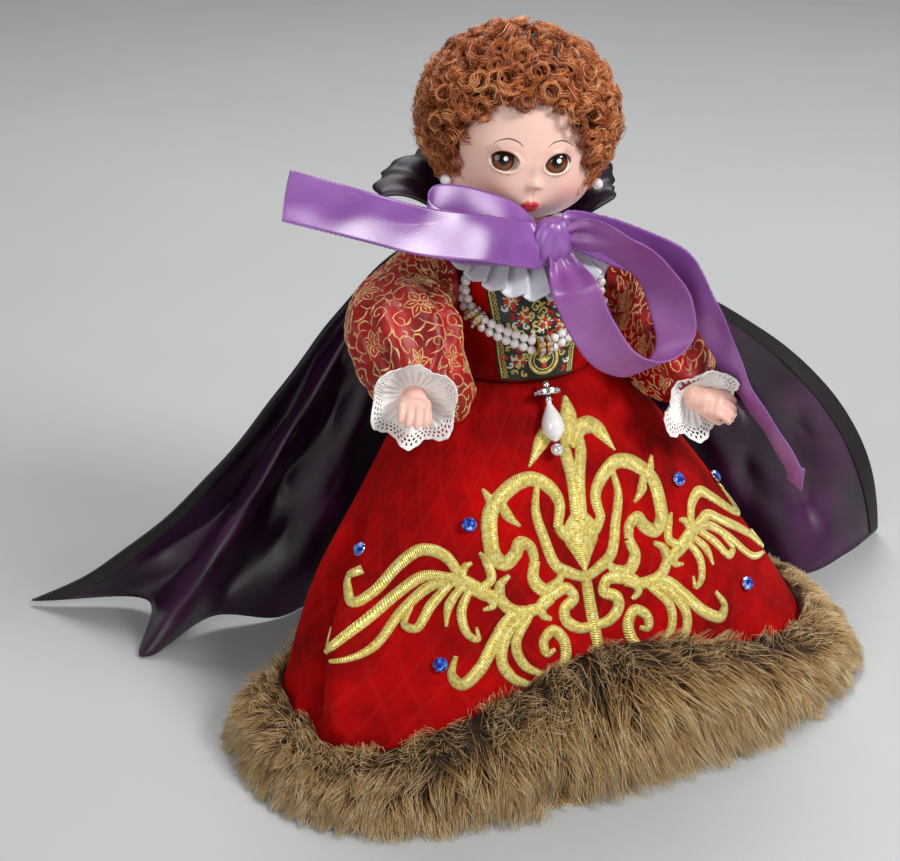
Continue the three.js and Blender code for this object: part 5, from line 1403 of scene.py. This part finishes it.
def head_form(direction):
    x, y, z = direction[..., 0], direction[..., 1], direction[..., 2]
    low, ahead = np.maximum(-z, 0), np.maximum(-y, 0)
    front = smooth(-y, -0.55, 0.15)
    jowl = 1 + 0.58 * front * smooth(-z, 0.2, 1.0) ** 1.2
    return stack(x * head_width(z, low, ahead) * jowl, y * head_depth(z, low, ahead),
                 z * HEAD_TALL * (1 + 0.11 * front * smooth(-z, 0.5, 0.95)))


def face_front(x, z):
    dz = np.clip(z / HEAD_TALL, -1, 1)
    low = np.maximum(-dz, 0)
    ahead = np.full(np.shape(x), 0.9) + 0.0 * z
    for _ in range(6):
        wide = head_width(dz, low, ahead) * (1 + 0.58 * smooth(-dz, 0.2, 1.0) ** 1.2)
        ahead = np.sqrt(np.maximum(1e-6, 1 - (x / wide) ** 2 - dz ** 2))
    return -ahead * head_depth(dz, low, ahead)


EYE_AHEAD = math.sqrt(1 - (EYE_X / HEAD_WIDE) ** 2 - (EYE_Z / HEAD_TALL) ** 2)
EYE_Y = -EYE_AHEAD * HEAD_DEEP * (1 + 0.12 * (-EYE_Z / HEAD_TALL) * EYE_AHEAD) + math.sqrt(5.1 ** 2 - 3.3 ** 2)


def mound(x, z, cx, cz, sx, sz):
    return np.exp(-((x - cx) / sx) ** 2 - ((z - cz) / sz) ** 2)


LID_HALF, LID_UP, LID_DOWN = 3.6, 2.95, 2.55
EYE_MIDDLE = -1.2


def lid_edges(across):
    share = np.sqrt(np.clip(1 - (np.abs(across) / LID_HALF) ** 2, 0, 1))
    return LID_UP * share + 0.1 * across, -LID_DOWN * share + 0.1 * across


def eye_opening(x, z):
    """How far a place is inside the nearer eye's opening, in mm."""
    side = np.where(x < EYE_MIDDLE, -1, 1)
    across, up = (x - EYE_MIDDLE - side * EYE_X) * side, z - EYE_Z
    level = up - 0.1 * across
    far = np.sqrt((across / LID_HALF) ** 2 + (level / np.where(level > 0, LID_UP, LID_DOWN)) ** 2)
    return (1 - far) * 2.9, across, up


def lip_shape(x, z):
    """Full inside the lips, with a bow above and a round below."""
    up = z + 18.0
    a = np.abs(x)
    top = 2.05 - 0.6 * bell(a, 0.5) - 0.55 * np.maximum(a - 0.8, 0) ** 1.3
    bottom = -2.3 + 0.5 * np.maximum(a - 0.5, 0) ** 1.5
    return np.minimum(np.minimum(top - up, up - bottom), (2.6 - a) * 0.8), up


def face_relief(x, z):
    out = 1.0 * (mound(x, z, -10, -13, 5.5, 5.5) + mound(x, z, 10, -13, 5.5, 5.5))
    out += 0.9 * mound(x, z, 0, -22.4, 4.2, 2.0) + 1.9 * mound(x, z, 0, -18.4, 5.5, 3.6)
    out += 1.65 * mound(x, z, 0.2, -11.4, 1.55, 1.5) + 0.5 * mound(x, z, 0, -8.2, 1.7, 3.2)
    out += 0.5 * (mound(x, z, -1.3, -11.9, 0.9, 0.9) + mound(x, z, 1.7, -11.9, 0.9, 0.9))
    out -= 0.65 * (mound(x, z, -0.6, -12.9, 0.5, 0.42) + mound(x, z, 1.0, -12.9, 0.5, 0.42))
    out -= 0.3 * mound(x, z, 0, -14.9, 0.6, 0.9)
    inside, across, up = eye_opening(x, z)
    out += 1.35 * mound(across, up, 0, 0, 5.2, 4.4)
    out += 0.22 * bell(inside + 0.45, 0.35)
    out -= 0.08 * bell(inside + 1.5, 0.5) * (up > 0)
    out -= 5.2 * smooth(inside, -0.12, 0.32)
    lips, height = lip_shape(x, z)
    out += 0.95 * smooth(lips, -0.25, 0.8)
    out -= 0.5 * bell(height - 0.12 - 0.05 * np.abs(x), 0.22) * smooth(lips, -0.3, 0.3)
    return out


def face_place(x, z, lift=0.0):
    return on_head(stack(x, face_front(x, z) - face_relief(x, z) - lift, z))


def head():
    def skin(u, v):
        s = 2 * u - 1
        angle = math.pi * np.sign(s) * (0.3 * np.abs(s) + 0.7 * np.abs(s) ** 3)
        t = 1 - 2 * v
        rise = np.where(t > 0, -0.21 + (math.pi / 2 + 0.21) * (0.32 * t + 0.68 * t ** 3),
                        -0.21 - (math.pi / 2 - 0.21) * (0.32 * -t + 0.68 * (-t) ** 3))
        direction = stack(np.sin(angle) * np.cos(rise), -np.cos(angle) * np.cos(rise), np.sin(rise))
        p = head_form(direction)
        ahead = smooth(-direction[:, 1], 0.15, 0.4)
        p[:, 1] -= ahead * face_relief(p[:, 0], p[:, 2])
        return p
    kept = {}

    def place(u, v):
        kept["flat"] = skin(u, v)
        return on_head(kept["flat"])
    piece = cloth_grid("doll_face", 252, 202, place, (140, 75))
    p = kept["flat"]
    x, z, ahead = p[:, 0], p[:, 2], smooth(-p[:, 1], 8, 14)
    base = np.array(paint(248, 203, 188)[:3])
    colour = np.tile(base, (len(p), 1))

    def tint(share, rgb):
        colour[:] = lerp(colour, np.array(paint(*rgb)[:3]), (share * ahead)[:, None])
    tint(0.42 * np.maximum(mound(x, z, -11.5, -14, 5.0, 4.2), mound(x, z, 11.5, -14, 5.0, 4.2)), (246, 160, 150))
    tint(0.35 * mound(x, z, 0.2, -11.8, 1.6, 1.4), (242, 170, 156))
    tint(0.3 * mound(x, z, 0, -23, 3, 1.6), (242, 176, 164))
    inside, across, up = eye_opening(x, z)
    # Painted shade on the upper lids, above each eye opening.
    tint(0.5 * mound(across, up, 0, 2.9, 4.4, 1.7) * (inside < 0.1), (196, 132, 122))
    # Painted highlight along the lower lid rim of each eye opening.
    tint(0.8 * bell(inside + 0.12, 0.22) * smooth(-up, -0.6, 0.8), (255, 238, 220))
    # The recessed skin inside each eye opening is painted dark brown: painted shade in the eye socket.
    tint(smooth(inside, -0.02, 0.2), (60, 34, 26))
    lips, height = lip_shape(x, z)
    tint(smooth(lips, -0.12, 0.22), (216, 62, 70))
    tint(0.75 * bell(height - 0.12 - 0.05 * np.abs(x), 0.2) * smooth(lips, -0.1, 0.3), (134, 24, 34))
    set_paint(piece.data, np.hstack([colour, np.ones((len(p), 1))]))
    close_faces(piece)
    finish_piece(piece, FACE, "head", "skin", "head_face", "head_back")
    profile = [(0, 143.4), (7.2, 143.4), (7.6, 144.2), (7.5, 148), (7.9, 152), (0, 152)]
    neck = lathe("doll_neck", profile, 40, np.zeros(3), (0, 0, 1))
    finish_piece(neck, SKIN, "head", "skin")


head()


def eyes():
    for which, side in (("right", -1), ("left", 1)):
        def ball(u, v):
            a, rise = 2 * math.pi * u, math.pi * v ** 1.4
            local = stack(np.sin(rise) * np.cos(a), -np.cos(rise), np.sin(rise) * np.sin(a))
            kept["spin"], kept["rise"] = a, rise
            middle = np.array([EYE_MIDDLE + side * EYE_X, EYE_Y - 0.5 * side, EYE_Z])
            return on_head(middle + 4.8 * turn_z(turn_x(local, -6), -4))
        kept = {}
        piece = cloth_grid(f"glass_eye_{which}", 104, 78, ball, (15, 15))
        out = 4.8 * np.sin(kept["rise"])
        out = np.where(kept["rise"] > math.pi / 2, 9.0, out)
        spin = kept["spin"]
        rays = 0.5 + 0.25 * np.sin(17 * spin + 1) + 0.15 * np.sin(41 * spin) + 0.1 * np.sin(67 * spin + 2)
        colour = np.tile(np.array(paint(244, 238, 230)[:3]), (len(out), 1))

        def tint(share, rgb):
            colour[:] = lerp(colour, np.array(paint(*rgb)[:3]), np.clip(share, 0, 1)[:, None])
        # above marks the upper part of the eye, in the lid's shadow: the two tints that use it are painted shade
        # from the lid.
        above = smooth(np.sin(spin) * out, -1.2, 1.6)
        tint(1 - smooth(out, 3.1, 3.25), (44, 21, 9))
        tint(1 - smooth(out, 2.75, 3.05), (104, 52, 17))
        tint((1 - smooth(out, 1.9, 2.9)) * rays, (158, 90, 32))
        tint((1 - smooth(out, 1.5, 2.1)) * 0.6, (80, 38, 13))
        # Painted lid shadow: the iris darkened along its upper part.
        tint(0.92 * above * (1 - smooth(out, 3.0, 3.2)), (30, 14, 7))
        tint(1 - smooth(out, 1.2, 1.65), (8, 4, 4))
        # Painted lid shadow: the white above the iris greyed.
        tint(0.45 * above * smooth(out, 3.1, 3.3), (150, 124, 110))
        # Painted glint: a white highlight painted on the glass eye, up and right of the pupil.
        painted_glint = np.hypot(np.cos(spin) * out - 0.55, np.sin(spin) * out - 0.5)
        tint(1 - smooth(painted_glint, 0.5, 0.75), (255, 253, 250))
        tip = np.degrees(np.arctan2(np.sin(kept["rise"]) * np.sin(spin), np.cos(kept["rise"])))
        tint(smooth(tip, 38, 40), (70, 36, 24))
        tint(smooth(tip, 42, 44), (244, 196, 178))
        set_paint(piece.data, np.hstack([colour, np.ones((len(out), 1))]))
        close_faces(piece)
        finish_piece(piece, EYE, "eyes", "eye", f"eye_{which}")


eyes()


LASH_WIDTHS = (0.08, 0.06, 0.03)


def lashes():
    edges, fine = [], []
    for side in (-1, 1):
        def at(a, up):
            return EYE_MIDDLE + side * (EYE_X + a), EYE_Z + up
        across = LID_HALF * np.cos(np.linspace(math.pi * 0.96, 0.0, 18))
        high = lid_edges(across)[0]
        edges.append(([at(a * 1.02, h + 0.1) for a, h in zip(across, high)], (0.2, 0.45, 0.55, 0.5, 0.35)))
        for k in range(5):
            a = lerp(1.5, 3.5, k / 4)
            h = float(lid_edges(np.array(a))[0]) + 0.25
            out = (a + 1.6) / 5.1
            lean, long = 0.05 + 0.85 * out, 1.0 + 0.8 * out
            hair = [at(a, h), at(a + 0.35 * lean * long, h + 0.6 * long), at(a + lean * long, h + long)]
            fine.append((hair, LASH_WIDTHS))
        for k in range(8):
            a = lerp(-1.4, 3.2, k / 7)
            b = float(lid_edges(np.array(a))[1]) - 0.45
            out = (a + 1.6) / 4.9
            fine.append(([at(a, b), at(a + 0.4 * out, b - 0.5), at(a + 0.1 + 0.8 * out, b - 1.0)], LASH_WIDTHS))
        brow = [(3.4, 0.2), (5.0, 1.4), (7.2, 1.9), (9.4, 1.3), (11.2, 0.0)]
        edges.append(([(side * x - 0.6, z - 1.0) for x, z in brow], (0.12, 0.26, 0.28, 0.22, 0.08)))
    piece = stitched("lash_and_brow_lines", edges, face_place, 0.16, 0.04, 1.0, 0.02, 0.22)
    finish_piece(piece, LASH, "head", "skin")
    piece = stitched("painted_lashes", fine, face_place, 0.07, 0.03, 1.0, 0.02, 0.25)
    finish_piece(piece, LASH, "head", "skin")


lashes()


def studs():
    direction = unit(np.array([0.78, -0.36, -0.5]))
    reach = np.linalg.norm(head_form(direction)) + 2.6
    for which, side in (("right", -1), ("left", 1)):
        spot = on_head(direction * reach * np.array([side, 1, 1]))
        piece = put_ball(spot, 1.6, 24, 16)
        piece.name = f"pearl_stud_{which}"
        finish_piece(piece, PEARL, "head", "pearl", f"ear_stud_{which}")


studs()

WIG_AT = np.array([0, 2.2, 2.2])


def in_face(p, grow=1.0):
    nearer = 1.65 * smooth(p[..., 2], -17, -8)
    q = stack((p[..., 0] + 1.6 + nearer) / (20.4 - nearer), (p[..., 1] + 26) / 20, (p[..., 2] + 10) / 19) / grow
    return (q ** 2).sum(axis=-1) < 1


def wig_cap():
    def cap(u, v):
        a, rise = 2 * math.pi * u, math.pi * v
        local = stack(np.sin(rise) * np.cos(a), np.sin(rise) * np.sin(a), np.cos(rise))
        kept["flat"] = local * np.array([25.2, 25.6, 23.4]) + WIG_AT
        return on_head(kept["flat"])
    kept = {}
    piece = cloth_grid("wig_cap", 96, 62, cap, (150, 75))
    p = kept["flat"]
    inside = in_face(p, 1.1) | (p[:, 2] < -20.5)
    delete_picked(piece, "VERT", inside)
    close_faces(piece)
    thicken(piece, 0.8)
    finish_piece(piece, SCALP, "head", "hair", "wig")


def wig_curls():
    """Locks spread evenly over the cap, half of them rings and half of them coils that lie on their side."""
    count = 1000
    i = np.arange(count)
    z = 1 - (2 * i + 1) / count
    a = i * math.pi * (3 - math.sqrt(5))
    normal = stack(np.sqrt(1 - z * z) * np.cos(a), np.sqrt(1 - z * z) * np.sin(a), z)
    normal = unit(normal + CHANCE.normal(0, 0.04, normal.shape))
    place = normal * np.array([26.4, 26.6, 22.8]) + WIG_AT
    keep = ~in_face(place, 1.09) & (place[:, 2] > -20)
    normal, place = normal[keep], place[keep]
    count = len(place)
    turn = unit(np.cross(normal, unit(CHANCE.normal(0, 1, (count, 3)))))
    ring = CHANCE.uniform(0, 1, count) < 0.5
    axis = unit(np.where(ring[:, None], normal + turn * CHANCE.normal(0, 0.55, count)[:, None],
                         turn + normal * CHANCE.normal(0, 0.35, count)[:, None]))
    one = unit(np.cross(axis, turn + 0.3 * normal + 0.1))
    two = np.cross(axis, one)
    size = np.where(ring, CHANCE.uniform(2.2, 3.7, count), CHANCE.uniform(1.7, 2.7, count))
    turns = CHANCE.uniform(1.25, 1.9, count)
    spread = np.where(ring, CHANCE.uniform(0.8, 2.0, count), CHANCE.uniform(2.5, 5.0, count))
    tall = np.where(ring, CHANCE.uniform(0.8, 2.4, count), CHANCE.uniform(0.0, 1.2, count))
    shade = np.clip(CHANCE.normal(0.62, 0.13, count), 0.2, 0.95)
    each, points = 11, 11
    t = np.linspace(0, 1, points)
    paths, radii, tones = [], [], []
    start = CHANCE.uniform(0, 2 * math.pi, count)
    for _ in range(each):
        wide = size * CHANCE.uniform(0.7, 1.14, count)
        phase = start[:, None] + CHANCE.normal(0, 0.3, count)[:, None] + 2 * math.pi * turns[:, None] * t
        radius = wide[:, None] * (1 - 0.3 * t)
        slide = (t - 0.5) * spread[:, None] + CHANCE.normal(0, 0.6, count)[:, None]
        path = place[:, None] + normal[:, None] * tall[:, None, None] + axis[:, None] * slide[..., None] \
            + one[:, None] * (radius * np.cos(phase))[..., None] \
            + two[:, None] * (radius * np.sin(phase))[..., None]
        path = path + CHANCE.normal(0, 0.13, path.shape)
        paths.append(path)
        taper = np.interp(t, [0, 0.1, 0.8, 1.0], [0.6, 1, 0.9, 0.0])
        radii.append(CHANCE.uniform(0.074, 0.126, count)[:, None] * taper)
        # Strands deeper inside the wig get darker tones: painted shade among the curls.
        far = (path - WIG_AT) / np.array([29, 29, 26.5])
        depth = smooth(np.linalg.norm(far, axis=-1), 0.84, 1.05)
        tones.append(np.clip((shade + CHANCE.normal(0, 0.16, count))[:, None] * (0.35 + 0.8 * depth), 0, 1))
    paths, radii, tones = np.concatenate(paths), np.concatenate(radii), np.concatenate(tones)
    for n, some in enumerate(np.array_split(np.arange(len(paths)), 4)):
        piece = strands(f"wig_curls_{n + 1}", on_head(paths[some]), radii[some], tones[some])
        finish_piece(piece, HAIR, "head", "hair")


def wig_strays():
    stray = 650
    out = unit(CHANCE.normal(0, 1, (stray, 3)))
    root = out * np.array([27.5, 27.5, 24.0]) + WIG_AT
    keep = ~in_face(root, 1.12) & (root[:, 2] > -16)
    out, root = out[keep], root[keep]
    stray = len(root)
    side = unit(np.cross(out, unit(CHANCE.normal(0, 1, (stray, 3)))))
    t = np.linspace(0, 1, 10)
    loop = CHANCE.uniform(1.0, 2.6, stray)[:, None]
    phase = CHANCE.uniform(2.5, 5.0, stray)[:, None] * t
    path = root[:, None] + out[:, None] * (loop * np.sin(phase) + 1.2 * t)[..., None] \
        + side[:, None] * (loop * (1 - np.cos(phase)))[..., None]
    thin = np.full((stray, 10), 0.05) * np.linspace(1, 0.4, 10)
    piece = strands("wig_strays", on_head(path), thin, np.full((stray, 10), 0.8))
    finish_piece(piece, HAIR, "head", "hair")


def forehead_strands():
    loose = 150
    a = CHANCE.uniform(-1.0, 1.0, loose)
    root = stack(18.5 * np.sin(a), -18.5 * np.cos(a) - 3.5, 12.5 - 3.5 * a * a + CHANCE.uniform(-0.5, 1.5, loose))
    t = np.linspace(0, 1, 7)
    swing = CHANCE.uniform(-1, 1, loose)
    long = CHANCE.uniform(1.5, 4.5, loose)
    fall = stack(swing * 0.5, -0.35 + 0 * a, -0.8 + 0 * a)
    curl = stack(np.cos(a), np.sin(a), 0 * a)
    path = root[:, None] + (unit(fall) * long[:, None])[:, None] * t[None, :, None] \
        + curl[:, None] * (swing[:, None] * 1.4 * np.sin(4 * t)[None])[..., None]
    front = -np.sqrt(np.maximum(1, 23.9 ** 2 - (path[..., 0] * 1.04) ** 2 - (path[..., 2] * 0.98) ** 2)) - 0.25
    path[..., 1] = np.minimum(path[..., 1], front)
    thin = np.full((loose, 7), 0.07) * np.linspace(1, 0.4, 7)
    piece = strands("forehead_strands", on_head(path), thin, np.full((loose, 7), 0.55))
    finish_piece(piece, HAIR, "head", "hair")


wig_cap()
wig_curls()
wig_strays()
forehead_strands()


# Everything inside that stays as it is, with its finish
def inner_pieces():
    for material, names in ((SKIN, ("torso_front", "torso_back", "leg_right", "leg_left")),
                            (ELASTIC, ("arm_elastic", "leg_elastic", "neck_elastic")),
                            (BRASS, ("neck_hook", "arm_hook_right", "arm_hook_left")),
                            (BRASS, ("leg_hook_right", "leg_hook_left")),
                            (LEAD, ("eye_weight",)), (SHOE, ("shoe_right", "shoe_left"))):
        for name in names:
            piece = bpy.data.objects[name]
            piece.data.materials.clear()
            piece.data.materials.append(material)


inner_pieces()


# Floor and light: where each lamp stands, its size and its power
LAMPS = {"key": ((0.45, -0.76, 0.85), 0.36, 10.6), "fill": ((-0.9, -0.6, 0.5), 0.6, 3.6),
         "top": ((0.25, 0.48, 0.95), 0.45, 6.0)}
LAMP_TARGET = Vector((-0.01, 0, 0.09))
SKY_COLOUR, SKY_STRENGTH = (0.80, 0.81, 0.83, 1), 0.25
FLOOR_DROP = 0.0002


def studio():
    bpy.ops.mesh.primitive_plane_add(size=6, location=(0, 0, -FLOOR_DROP))
    floor = bpy.context.object
    floor.name = "floor"
    grey = mottled("pale floor", dyes((184, 185, 185), (191, 192, 192)), 0.7, 3, 0.0)
    floor.data.materials.append(grey)
    world = bpy.data.worlds.new("studio")
    bpy.context.scene.world = world
    world.use_nodes = True
    sky = world.node_tree.nodes["Background"].inputs
    sky["Color"].default_value, sky["Strength"].default_value = SKY_COLOUR, SKY_STRENGTH
    for name, (spot, size, power) in LAMPS.items():
        bpy.ops.object.light_add(type="AREA", location=spot)
        lamp = bpy.context.object
        lamp.name = name
        lamp.data.size = size
        lamp.data.energy = power
        lamp.rotation_euler = (Vector(spot) - LAMP_TARGET).to_track_quat("Z", "Y").to_euler()
    bpy.context.scene.view_settings.view_transform = "Standard"


studio()
